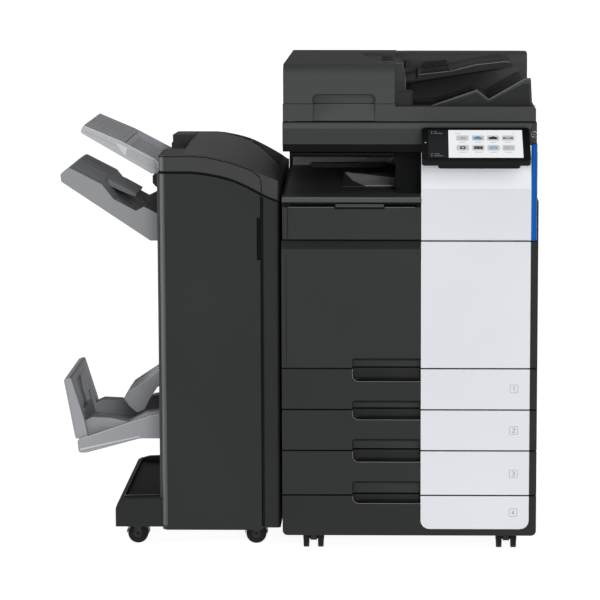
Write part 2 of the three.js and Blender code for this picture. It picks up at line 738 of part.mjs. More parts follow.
// ---- casters of the finisher: one wheel under a hood -------------------------------------------
for (const [key, [x, y]] of Object.entries(FIN_CASTERS)) {
  const hood = [];
  for (let k = 0; k <= 10; k++) {
    const t = PI * (0.02 + 0.096 * k);
    hood.push([x + 28.2 * cos(t), R_WHEEL + 28.2 * sin(t)]);
  }
  for (let k = 10; k >= 0; k--) {
    const t = PI * (0.02 + 0.096 * k);
    hood.push([x + 26.2 * cos(t), R_WHEEL + 26.2 * sin(t)]);
  }
  const cheek = (y0, y1) => prismY([[x - 7, 17], [x + 7, 17], [x + 9, 51.6], [x - 9, 51.6]], y0, y1);
  const fork = cut(
    join(
      prismY(hood, y - 15, y + 15),
      cheek(y - 15, y - 12.5),
      cheek(y + 12.5, y + 15),
      cylinder("z", 15, 51.2, 53.4, x + FIN_TRAIL, y, 20),
      cylinder("z", 6, 51, 61, x + FIN_TRAIL, y),
    ),
    cylinder("y", 4.5, y - 17, y + 17, x, R_WHEEL, 16),
  );
  add("finisher_fork_" + key, fork, BLACK);
  const wheel = join(
    cylinder("y", R_WHEEL, y - 11.5, y + 11.5, x, R_WHEEL, 28),
    cylinder("y", 4, y - 16, y + 16, x, R_WHEEL, 16),
  );
  add("finisher_wheel_" + key, wheel, BLACK, 0.7);
}

export default root;
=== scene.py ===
# Office copier with a side finisher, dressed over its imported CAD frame. Lengths in mm are turned to
# metres by P(). X 0 is the middle of the main body, Y 0 its front plane, Z 0 the floor.
import json, math
import bmesh, bpy
from mathutils import Matrix, Vector


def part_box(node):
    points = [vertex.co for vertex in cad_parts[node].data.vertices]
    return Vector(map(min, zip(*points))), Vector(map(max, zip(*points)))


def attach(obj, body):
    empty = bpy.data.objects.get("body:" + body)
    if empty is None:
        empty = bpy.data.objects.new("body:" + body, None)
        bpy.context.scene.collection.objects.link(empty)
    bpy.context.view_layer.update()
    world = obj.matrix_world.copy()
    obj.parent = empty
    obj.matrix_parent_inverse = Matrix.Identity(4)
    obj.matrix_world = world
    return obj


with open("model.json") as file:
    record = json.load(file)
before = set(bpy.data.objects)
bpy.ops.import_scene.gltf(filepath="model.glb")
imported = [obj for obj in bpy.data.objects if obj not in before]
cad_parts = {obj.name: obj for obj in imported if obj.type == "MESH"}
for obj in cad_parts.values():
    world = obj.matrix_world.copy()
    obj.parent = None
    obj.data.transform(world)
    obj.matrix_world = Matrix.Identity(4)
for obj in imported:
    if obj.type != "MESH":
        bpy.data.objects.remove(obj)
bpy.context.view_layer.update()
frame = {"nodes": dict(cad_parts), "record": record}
NODES = frame["nodes"]
lo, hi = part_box("tray_1")
ORIGIN = Vector(((lo.x + hi.x) / 2, lo.y, 0))


def P(x, y, z):
    return ORIGIN + Vector((x, y, z)) / 1000


# ---- camera -------------------------------------------------------------------------------------
LENS = 2809.8   # focal length, in six hundredths of the frame width
PITCH = 8.36    # degrees the camera looks down
EYE = (0, -6678.3, 1603.4)
SIDE = 110.0    # how far the middle of the main body lies right of the frame's middle
SHIFT = 0.125   # share of the frame taken by camera shift; the rest is a small turn
cam_data = bpy.data.cameras.new("camera")
cam = bpy.data.objects.new("camera", cam_data)
bpy.context.scene.collection.objects.link(cam)
cam_data.sensor_width = 36
cam_data.lens = 36 * LENS / 600
cam_data.shift_x = -SHIFT
cam_data.clip_start, cam_data.clip_end = 0.1, 60
cam.location = P(*EYE)
turn = math.atan((SIDE - SHIFT * 600) / LENS)
cam.rotation_euler = (math.radians(90 - PITCH), 0, turn)
bpy.context.scene.camera = cam


# ---- materials ----------------------------------------------------------------------------------
def lin(hexa):
    v = [int(hexa[i:i + 2], 16) / 255 for i in (1, 3, 5)]
    return [((c + 0.055) / 1.055) ** 2.4 if c > 0.04045 else c / 12.92 for c in v] + [1]


def material(name, dark, light, rough, grain=900.0, bump=0.12, depth=0.0002, spec=0.5, coat=0.0,
             metal=0.0, rough_spread=0.06, patch=3.0, streak=None):
    m = bpy.data.materials.new(name)
    m.use_nodes = True
    t = m.node_tree
    t.nodes.clear()
    n, link = t.nodes.new, t.links.new
    out, bsdf = n("ShaderNodeOutputMaterial"), n("ShaderNodeBsdfPrincipled")
    link(bsdf.outputs[0], out.inputs[0])
    co = n("ShaderNodeTexCoord")
    big, fine = n("ShaderNodeTexNoise"), n("ShaderNodeTexNoise")
    big.inputs["Scale"].default_value, big.inputs["Detail"].default_value = patch, 3
    fine.inputs["Scale"].default_value, fine.inputs["Detail"].default_value = grain, 2
    if streak:
        squeeze = n("ShaderNodeMapping")
        squeeze.inputs["Scale"].default_value = streak
        link(co.outputs["Object"], squeeze.inputs[0])
        link(squeeze.outputs[0], fine.inputs[0])
    else:
        link(co.outputs["Object"], fine.inputs[0])
    link(co.outputs["Object"], big.inputs[0])
    ramp = n("ShaderNodeValToRGB")
    ramp.color_ramp.elements[0].position, ramp.color_ramp.elements[1].position = 0.3, 0.7
    ramp.color_ramp.elements[0].color, ramp.color_ramp.elements[1].color = lin(dark), lin(light)
    link(big.outputs[0], ramp.inputs[0])
    speck = n("ShaderNodeMix")
    speck.data_type, speck.blend_type = "RGBA", "MULTIPLY"
    shade = n("ShaderNodeMapRange")
    shade.inputs[3].default_value, shade.inputs[4].default_value = 0.9, 1.1
    link(fine.outputs[0], shade.inputs[0])
    speck.inputs[0].default_value = 1
    link(ramp.outputs[0], speck.inputs[6])
    link(shade.outputs[0], speck.inputs[7])
    link(speck.outputs[2], bsdf.inputs["Base Color"])
    mr = n("ShaderNodeMapRange")
    mr.inputs[3].default_value, mr.inputs[4].default_value = rough - rough_spread, rough + rough_spread
    link(fine.outputs[0], mr.inputs[0])
    link(mr.outputs[0], bsdf.inputs["Roughness"])
    b = n("ShaderNodeBump")
    b.inputs["Strength"].default_value, b.inputs["Distance"].default_value = bump, depth
    link(fine.outputs[0], b.inputs["Height"])
    link(b.outputs[0], bsdf.inputs["Normal"])
    bsdf.inputs["Metallic"].default_value = metal
    bsdf.inputs["Specular IOR Level"].default_value = spec
    bsdf.inputs["Coat Weight"].default_value = coat
    bsdf.inputs["Coat Roughness"].default_value = 0.15
    return m


def plastic(name, dark, light, rough=0.58, spec=0.2, grain=700, bump=0.22, **more):
    return material(name, dark, light, rough, grain, bump, 0.0003, spec=spec, **more)


def smooth_part(name, dark, light, rough=0.35, spec=0.45, **more):
    return material(name, dark, light, rough, 1100, 0.05, 0.0001, spec=spec, **more)


def lit(m, strength, colour):
    bsdf = next(x for x in m.node_tree.nodes if x.type == "BSDF_PRINCIPLED")
    bsdf.inputs["Emission Color"].default_value = lin(colour)
    bsdf.inputs["Emission Strength"].default_value = strength
    return m


M = {
    "charcoal": plastic("charcoal_plastic", "#232525", "#272929"),
    "charcoal_low": plastic("charcoal_base_plastic", "#1a1c1c", "#1e2020"),
    # landing: mid grey, painted light on the shaded landing under the document tray
    "landing": plastic("landing_plastic", "#464747", "#4a4b4b", 0.5),
    "bin_book": plastic("booklet_plastic", "#8b8c90", "#929397", 0.5),
    # a lighter copy of the lid plastic: painted highlight on the hump
    "lid_painted_highlight": plastic("lid_painted_highlight_plastic", "#373838", "#3b3c3c", 0.4, 0.4),
    "tray_face": plastic("tray_plastic", "#1f2121", "#232525"),
    "tray_foot": plastic("tray_foot_plastic", "#1b1c1d", "#1f2021"),
    # rim: lighter plastic, painted highlight along the rounded edges of the finisher door, lid and foot
    "rim": plastic("rounded_edge_painted_highlight_plastic", "#3a3b3b", "#3e3f3f", 0.45, 0.35),
    "bezel": smooth_part("bezel_plastic", "#08090a", "#0b0c0d", 0.3, 0.12),
    "lid": plastic("charcoal_lid_plastic", "#242525", "#282929", 0.42, 0.35),
    "scanner": plastic("scanner_plastic", "#2b2c2c", "#2f3030", 0.55, 0.2),
    "charcoal_light": plastic("feeder_plastic", "#363737", "#3a3b3b", 0.55, 0.2),
    "feeder": plastic("feeder_facet_plastic", "#3c3d3d", "#404141", 0.55, 0.2),
    "black": plastic("black_plastic", "#131415", "#17181a", 0.4, 0.3, 900, 0.1),
    # side: darker inner plastic; on the document tray and in the lower finger recess it is painted shade
    "side": plastic("inner_and_painted_shade_plastic", "#191a1b", "#1d1e1f", 0.55),
    # recess: a lighter copy of the charcoal, painted light in the upper half of the finger recess
    "recess": plastic("recess_painted_light_plastic", "#262828", "#2a2c2c", 0.55),
    "tray_black": plastic("exit_tray_plastic", "#3a3b3b", "#3e3f3f", 0.5, 0.3),
    # cavity: light grey for the exit cavity's back panel and wedge, made far lighter than their own grey as painted
    # light against the cavity's shade
    "cavity": plastic("cavity_grey_and_painted_light_plastic", "#b0b1b2", "#b6b7b8", 0.5),
    "wall": plastic("wall_plastic", "#444546", "#48494a", 0.5),
    # pit: near-black for shut lines, and for painted shade and painted shadow in hollows and under edges
    "pit": plastic("shut_line_and_painted_shade_plastic", "#0c0d0d", "#0f1010", 0.8, 0.1),
    # edge: pale beads as painted highlights along edges; also the colour of the right door's rollers
    "edge": plastic("painted_highlight_and_roller_plastic", "#6e7070", "#767878", 0.4, 0.5),
    "steel": material("sheet_steel", "#7c7e80", "#8a8c8e", 0.38, 260, 0.1, 0.0002, metal=0.85, streak=(1, 30,
        30)),
    "chrome": material("bright_metal", "#a9abad", "#b9bbbd", 0.18, 500, 0.04, 0.0001, metal=1.0,
        rough_spread=0.04),
    "gloss": smooth_part("gloss_black", "#0a0b0c", "#0c0d0e", 0.16, 0.45, coat=0.2, rough_spread=0.03),
    "rubber": material("rubber", "#0d0d0d", "#131313", 0.75, 400, 0.3, 0.0004, spec=0.2),
    "white": smooth_part("white_plastic", "#c9ccd0", "#cdd0d4", 0.36, 0.35, coat=0.05),
    # a lighter copy of the white plastic: painted highlight on the cover's upper part
    "white_painted_highlight": smooth_part("white_plastic_painted_highlight", "#d6d9dd", "#dadde1", 0.36, 0.35, coat=0.05),
    "blue": smooth_part("blue_plastic", "#004fa0", "#005aae", 0.4, 0.08),
    "print": smooth_part("printed_mark", "#5c5f62", "#646769", 0.5),
    "pad": material("platen_foam", "#d8dad8", "#e0e2e0", 0.85, 500, 0.4, 0.0004, spec=0.2),
    "lever": smooth_part("green_lever", "#1d7a4a", "#238552", 0.4),
    "bin_grey": plastic("bin_plastic", "#a0a1a5", "#a7a8ac", 0.5),
    "bin_top": plastic("bin_floor_plastic", "#9a9ba0", "#a0a1a5", 0.5),
    "bin_light": plastic("bin_rim_plastic", "#b8b9bd", "#bfc0c4", 0.45),
    "bin_dark": plastic("bin_plastic_dark", "#808183", "#87888a", 0.5),
    # bin_shade: bin floors, and painted shade on the main bin's ramp
    "bin_shade": plastic("bin_floor_and_painted_shade", "#7d7e80", "#838486", 0.5),
    "glass": material("platen_glass", "#5c6664", "#64706e", 0.06, 60, 0.0, rough_spread=0.02, coat=0.5),
    "screen": smooth_part("screen_bezel", "#08090a", "#0b0c0d", 0.2, 0.15, rough_spread=0.03),
    "page": lit(smooth_part("screen_page", "#dadcdf", "#e0e2e5", 0.3, 0.2), 0.36, "#f4f4f4"),
    "ui_side": smooth_part("screen_side", "#1c1e22", "#202226", 0.3, 0.2),
    "ui_tile": smooth_part("screen_tile", "#dcdfe2", "#e2e5e8", 0.3, 0.2),
    "ui_dark": smooth_part("screen_dark", "#2a2d32", "#2f3237", 0.3, 0.2),
    "ui_line": smooth_part("screen_line", "#8b9096", "#92979d", 0.3, 0.2),
    "ui_blue": smooth_part("screen_blue", "#6aa9d2", "#74b1d8", 0.3, 0.2),
    "ui_sand": smooth_part("screen_sand", "#c6b48c", "#cdbb93", 0.3, 0.2),
    "lamp": lit(smooth_part("status_lamp", "#7fb6cc", "#8dc1d4", 0.2), 0.35, "#9fd4ea"),
    "key": plastic("key_plastic", "#17191b", "#1b1d1f", 0.36, 0.35, 900, 0.08),
    "cyan": smooth_part("cyan_cap", "#0f8fc0", "#1597ca"),
    "magenta": smooth_part("magenta_cap", "#b81e6c", "#c22474"),
    "yellow": smooth_part("yellow_cap", "#d8b412", "#e0bc18"),
    "ink": smooth_part("ink_cap", "#1a1a1c", "#202022"),
}

SLOT = {s["node"]: s["material_slot"] for s in frame["record"]["subparts"]}


SHARP = math.radians(32)  # edges turning more than this stay sharp and are rounded
FLAT = math.radians(0.6)   # faces turning less than this are one flat face


# ---- CAD nodes: weld, flatten, round the edges, shade smooth --------------------------------------
def group(name, build):
    g = bpy.data.node_groups.new(name, "GeometryNodeTree")
    g.interface.new_socket("Geometry", in_out="INPUT", socket_type="NodeSocketGeometry")
    g.interface.new_socket("Geometry", in_out="OUTPUT", socket_type="NodeSocketGeometry")
    a, b = g.nodes.new("NodeGroupInput"), g.nodes.new("NodeGroupOutput")
    g.links.new(build(g, a.outputs[0]), b.inputs[0])
    return g


def weld(g, geo):
    drop, merge = g.nodes.new("GeometryNodeRemoveAttribute"), g.nodes.new("GeometryNodeMergeByDistance")
    for s in drop.inputs:
        if s.name == "Name":
            s.default_value = "custom_normal"
    merge.inputs["Distance"].default_value = 1e-5
    g.links.new(geo, drop.inputs[0])
    g.links.new(drop.outputs[0], merge.inputs[0])
    return merge.outputs[0]


def smooth(g, geo):
    face, edge = g.nodes.new("GeometryNodeSetShadeSmooth"), g.nodes.new("GeometryNodeSetShadeSmooth")
    face.domain, edge.domain = "FACE", "EDGE"
    angle, less = g.nodes.new("GeometryNodeInputMeshEdgeAngle"), g.nodes.new("FunctionNodeCompare")
    less.data_type, less.operation = "FLOAT", "LESS_THAN"
    less.inputs[1].default_value = SHARP
    g.links.new(angle.outputs[0], less.inputs[0])
    g.links.new(geo, face.inputs[0])
    g.links.new(face.outputs[0], edge.inputs[0])
    g.links.new(less.outputs[0], edge.inputs["Shade Smooth"])
    return edge.outputs[0]


WELD, SMOOTH = group("weld", weld), group("smooth", smooth)


def finish_edges(o, width=1.2, segments=3, welded=True, flat=True):
    if welded:
        w = o.modifiers.new("weld", "NODES")
        w.node_group = WELD
    if welded and flat:
        d = o.modifiers.new("flat", "DECIMATE")
        d.decimate_type, d.angle_limit = "DISSOLVE", FLAT
    b = o.modifiers.new("edge", "BEVEL")
    b.width, b.segments = width / 1000, segments
    b.limit_method, b.angle_limit = "ANGLE", SHARP
    b.use_clamp_overlap, b.miter_outer = True, "MITER_ARC"
    s = o.modifiers.new("smooth", "NODES")
    s.node_group = SMOOTH
    n = o.modifiers.new("even", "WEIGHTED_NORMAL")
    n.keep_sharp, n.weight = True, 100


EDGE = {"front_door": 1.6, "toner_door": 1.6, "finisher_front_door": 2.0, "upper_bin": 2.5, "main_bin": 2.5,
        "booklet_bin": 3.0, "booklet_flap": 2.5, "platen_glass": 0.5, "panel_screen": 0.2, "power_key": 0.6,
        "finisher_base": 2.5, "finisher_top_cover": 1.5, "adf_feed_cover": 1.5, "toner_rack": 0.8, "rear_cover": 0.4,
        "finisher_rear_cover": 0.4, "main_frame": 0.5, "right_door": 0.5, "finisher_frame": 0.5}
PIERCED = ("rear_cover", "finisher_rear_cover", "main_frame", "right_door", "finisher_frame")
# the document tray takes the darker side plastic as painted shade, so its lit top stays as dark as the rest of the
# feeder
LOOK = {"scanner_housing": "scanner", "adf_document_tray": "side", "exit_tray": "tray_black",
    "finisher_base": "charcoal_low",
        "adf_guide_front": "side", "adf_guide_rear": "side", "finisher_top_cover": "lid", "panel_housing": "bezel",
        "finisher_front_door": "tray_face", "finisher_frame": "tray_foot", "tray_1": "tray_face", "tray_2": "tray_face",
        "tray_3": "tray_face", "tray_4": "tray_foot", "booklet_bin": "bin_book", "booklet_flap": "bin_book"}
for name, o in NODES.items():
    finish_edges(o, EDGE.get(name, 1.2), flat=name not in PIERCED)
    o.data.materials.clear()
    o.data.materials.append(M[LOOK.get(name, SLOT[name])])

# ---- detail pieces --------------------------------------------------------------------------------
class Piece:
    """One detail piece. Shapes are added in mm in the working frame and become one mesh."""

    def __init__(self, name, body, slot, mat, bevel=0.3, tilt=False):
        self.name, self.body, self.slot, self.mat, self.bevel = name, body, slot, mat, bevel
        self.bm, self.tilt = bmesh.new(), tilt

    def put(self, x, y, z):
        if self.tilt:  # x along the panel, y up its face, z out of it
            return P(x, -10 + y * math.cos(TILT) - z * math.sin(TILT),
                     1038 + y * math.sin(TILT) + z * math.cos(TILT))
        return P(x, y, z)

    def prism(self, axis, pts, lo, hi):
        def at(a, b, t):
            return {"x": (t, a, b), "y": (a, t, b), "z": (a, b, t)}[axis]
        low = [self.bm.verts.new(self.put(*at(a, b, lo))) for a, b in pts]
        top = [self.bm.verts.new(self.put(*at(a, b, hi))) for a, b in pts]
        self.bm.faces.new(low[::-1])
        self.bm.faces.new(top)
        for i in range(len(pts)):
            j = (i + 1) % len(pts)
            self.bm.faces.new((low[i], low[j], top[j], top[i]))
        return self

    def box(self, x0, x1, y0, y1, z0, z1):
        return self.prism("z", [(x0, y0), (x1, y0), (x1, y1), (x0, y1)], z0, z1)

    def rounded(self, axis, a0, a1, b0, b1, r, lo, hi, n=5):
        return self.prism(axis, rounded(a0, a1, b0, b1, r, n), lo, hi)

    def disc(self, axis, r, lo, hi, a, b, n=24, squash=1.0):
        pts = [(a + r * math.cos(2 * math.pi * k / n), b + r * squash * math.sin(2 * math.pi * k / n))
               for k in range(n)]
        return self.prism(axis, pts, lo, hi)

    def ring(self, axis, outer, inner, lo, hi):
        """A flat frame between two outlines with equal numbers of corners."""
        def at(a, b, t):
            return {"x": (t, a, b), "y": (a, t, b), "z": (a, b, t)}[axis]
        rows = [[self.bm.verts.new(self.put(*at(a, b, t))) for a, b in pts]
                for pts, t in ((outer, lo), (outer, hi), (inner, hi), (inner, lo))]
        n = len(outer)
        for k in range(4):
            for i in range(n):
                j = (i + 1) % n
                self.bm.faces.new((rows[k][i], rows[k][j], rows[(k + 1) % 4][j], rows[(k + 1) % 4][i]))
        return self

    def stroke(self, axis, pts, w, lo, hi, closed=False):
        """A line of width w drawn in the plane across an axis."""
        n, left, right = len(pts), [], []
        for i, (a, b) in enumerate(pts):
            p = pts[i - 1] if i or closed else pts[0]
            q = pts[(i + 1) % n] if i < n - 1 or closed else pts[-1]
            d1, d2 = Vector((a - p[0], b - p[1])), Vector((q[0] - a, q[1] - b))
            d1 = d1.normalized() if d1.length > 1e-9 else d2.normalized()
            d2 = d2.normalized() if d2.length > 1e-9 else d1
            t = (d1 + d2).normalized()
            m = Vector((-t.y, t.x)) * (w / 2 / max(0.5, t.dot(d1)))
            left.append((a + m.x, b + m.y))
            right.append((a - m.x, b - m.y))
        if closed:
            return self.ring(axis, left, right, lo, hi)
        return self.prism(axis, left + right[::-1], lo, hi)

    def tube(self, pts, r, n=8):
        """A round bead along points, closed at both ends."""
        pts = [Vector(p) for p in pts]
        rows = []
        for i, p in enumerate(pts):
            t = (pts[min(i + 1, len(pts) - 1)] - pts[max(i - 1, 0)]).normalized()
            up = Vector((0, 0, 1)) if abs(t.z) < 0.9 else Vector((0, 1, 0))
            u = t.cross(up).normalized()
            v = u.cross(t)
            rows.append([self.bm.verts.new(self.put(*(p + r * (math.cos(2 * math.pi * k / n) * u + math.sin(2 * math.pi * k / n) * v))))
                         for k in range(n)])
        for a, b in zip(rows, rows[1:]):
            for k in range(n):
                self.bm.faces.new((a[k], a[(k + 1) % n], b[(k + 1) % n], b[k]))
        self.bm.faces.new(rows[0][::-1])
        self.bm.faces.new(rows[-1])
        return self

    def sheet(self, rows, thick):
        """A sheet of thickness thick (mm, along z) through rows of points."""
        top = [[self.bm.verts.new(self.put(*p)) for p in row] for row in rows]
        low = [[self.bm.verts.new(self.put(p[0], p[1], p[2] - thick)) for p in row] for row in rows]
        m, n = len(rows), len(rows[0])
        for i in range(m - 1):
            for j in range(n - 1):
                self.bm.faces.new((top[i][j], top[i][j + 1], top[i + 1][j + 1], top[i + 1][j]))
                self.bm.faces.new((low[i][j], low[i + 1][j], low[i + 1][j + 1], low[i][j + 1]))
        edge = [(0, j) for j in range(n)] + [(i, n - 1) for i in range(1, m)] \
            + [(m - 1, j) for j in range(n - 2, -1, -1)] + [(i, 0) for i in range(m - 2, 0, -1)]
        for (a, b), (c, d) in zip(edge, edge[1:] + edge[:1]):
            self.bm.faces.new((top[a][b], low[a][b], low[c][d], top[c][d]))
        return self

    def done(self):
        bmesh.ops.recalc_face_normals(self.bm, faces=self.bm.faces)
        me = bpy.data.meshes.new(self.name)
        self.bm.to_mesh(me)
        self.bm.free()
        o = bpy.data.objects.new(self.name, me)
        bpy.context.scene.collection.objects.link(o)
        me.materials.append(self.mat)
        if self.bevel:
            finish_edges(o, self.bevel, 2, welded=False)
        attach(o, self.body)
        return o


def rounded(a0, a1, b0, b1, r, n=5):
    out = []
    for ca, cb, s in ((a1 - r, b0 + r, -90), (a1 - r, b1 - r, 0), (a0 + r, b1 - r, 90), (a0 + r, b0 + r,
        180)):
        for k in range(n + 1):
            t = math.radians(s + 90 * k / n)
            out.append((ca + r * math.cos(t), cb + r * math.sin(t)))
    return out


def arc(ca, cb, r, t0, t1, n=6):
    return [(ca + r * math.cos(math.radians(t0 + (t1 - t0) * k / n)),
             cb + r * math.sin(math.radians(t0 + (t1 - t0) * k / n))) for k in range(n + 1)]


TILT = math.atan2(66, 136)

# ---- touch panel: home screen of plain icons --------------------------------------------------------
def ui(name, mat, bevel=0):
    return Piece(name, "panel", "screen", mat, bevel, tilt=True)


circle = [(math.cos(k * math.pi / 14), math.sin(k * math.pi / 14)) for k in range(28)]
COLUMNS = (109.5, 146.5, 182, 217.5)
ROWS = ((-36, -60), (-80, -105))
ui("screen_page", M["page"]).rounded("z", 91, 265.6, -137, -11.5, 1, -0.3, -0.2).done()
ui("screen_side", M["ui_side"]).rounded("z", 43.4, 90.6, -137, -11.5, 1, -0.3, -0.2).done()
tiles = ui("screen_tiles", M["ui_tile"])
for x in COLUMNS:
    for top, low in ROWS:
        tiles.rounded("z", x, x + 29, low, top, 3, -0.22, -0.12)
tiles.done()
dark = ui("screen_icons_dark", M["ui_dark"])
for x in (192, 199, 204.5):  # a dark cloud on the third tile
    dark.disc("z", 5.4 if x == 199 else 4.2, -0.14, -0.05, x - 2, -48 + (2 if x == 199 else 0))
dark.rounded("z", 186, 206, -53.5, -48, 2, -0.14, -0.04)
dark.rounded("z", 221, 242, -50, -47, 1.4, -0.14, -0.05)  # a bar with a knob at each end
dark.disc("z", 3.3, -0.14, -0.04, 222.5, -48.5).disc("z", 3.3, -0.14, -0.04, 240.5, -48.5)
dark.ring("z", rounded(118, 130.5, -99, -86, 2.5), rounded(121.3, 127.2, -95.5, -89.5, 1.5), -0.14, -0.05)
dark.rounded("z", 150.5, 171, -98, -86, 2, -0.14, -0.05)
dark.done()
pale = ui("screen_icons_pale", M["ui_line"])
pale.rounded("z", 154, 158, -94, -90, 1, -0.06, -0.02).rounded("z", 163, 167, -94, -90, 1, -0.06, -0.02)
pale.stroke("z", rounded(222, 241, -98, -87, 2.5), 0.9, -0.14, -0.05, closed=True)
for x in COLUMNS:  # a short plain bar below each tile stands for its caption
    pale.rounded("z", x + 7, x + 22, -68, -66.4, 0.7, -0.22, -0.12)
    pale.rounded("z", x + 5, x + 24, -113, -111.4, 0.7, -0.22, -0.12)
pale.rounded("z", 107, 121, -27, -25.4, 0.7, -0.22, -0.12).disc("z", 1.5, -0.22, -0.12, 246, -26)
pale.done()
ui("screen_icons_blue", M["ui_blue"]).disc("z", 5.5, -0.14, -0.05, 155, -49).disc("z", 6.8, -0.14, -0.05, 161,
    -47) \
    .disc("z", 4.6, -0.14, -0.05, 167, -50).rounded("z", 152, 170, -54.6, -50, 2, -0.14, -0.04) \
    .ring("z", [(196.5 + 9.5 * a, -92.5 + 7 * b) for a, b in circle], [(196.5 + 6.4 * a,
        -92.5 + 4.4 * b) for a, b in circle], -0.14, -0.05) \
    .rounded("z", 191.5, 201.5, -93.6, -91.4, 1, -0.14, -0.05).done()
ui("screen_icons_sand", M["ui_sand"]).rounded("z", 119, 131, -52, -45, 1.2, -0.14, -0.05) \
    .rounded("z", 226, 233, -95, -90.5, 1, -0.14, -0.05).done()
side = ui("screen_side_marks", M["ui_line"])
for y, lo_, hi_ in ((-19, 57, 64), (-27, 57, 77), (-120, 57, 70), (-129, 57, 79)):
    side.rounded("z", lo_, hi_, y - 1, y + 1, 0.9, -0.22, -0.1).disc("z", 1.7, -0.22, -0.1, 51.5, y)
side.done()
Piece("panel_lamp", "panel", "screen", M["lamp"], 0.1, tilt=True).disc("z", 1.3, -0.2, 0.15, 37, -69) \
    .ring("z", [(37 + 2.1 * math.cos(k * math.pi / 8),
        -69 + 2.1 * math.sin(k * math.pi / 8)) for k in range(16)],
          [(37 + 1.5 * math.cos(k * math.pi / 8),
              -69 + 1.5 * math.sin(k * math.pi / 8)) for k in range(16)], -0.2, 0.1).done()
# back of the panel: parting seam and vents
back = Piece("panel_back", "panel", "black", M["black"], 0.3, tilt=True)
back.ring("z", rounded(27.5, 283.5, -151.3, 0.3, 9), rounded(28.2, 282.8, -150.6, -0.4, 8.4), -9.2, -8.4)
for k in range(14):
    back.rounded("z", 80 + k * 12, 87 + k * 12, -128, -108, 1.5, -28.6, -27.9)
back.done()

# ---- power key: ring and cap beside the panel -------------------------------------------------------
key_ring = Piece("key_ring", "machine", "key", M["chrome"], 0.25)
key_ring.ring("y", [(296 + 7.2 * a, 1021 + 7.2 * b) for a, b in circle], [(296 + 6.1 * a,
    1021 + 6.1 * b) for a, b in circle],
              -1.4, 0.2).done()
Piece("key_plate", "machine", "black", M["gloss"], 0.4).rounded("y", 290.8, 301.8, 1000, 1012.5, 2, -0.9,
    0.3) \
    .rounded("y", 290.8, 301.8, 1029.5, 1041, 2, -0.9, 0.3).done()
Piece("key_mark", "power_key", "key", M["ui_line"], 0).stroke("y", arc(296, 1021, 2.6, 130, 410, 14), 0.6,
    -1.62, -1.4) \
    .stroke("y", [(296, 1021), (296, 1024.4)], 0.6, -1.62, -1.4).done()

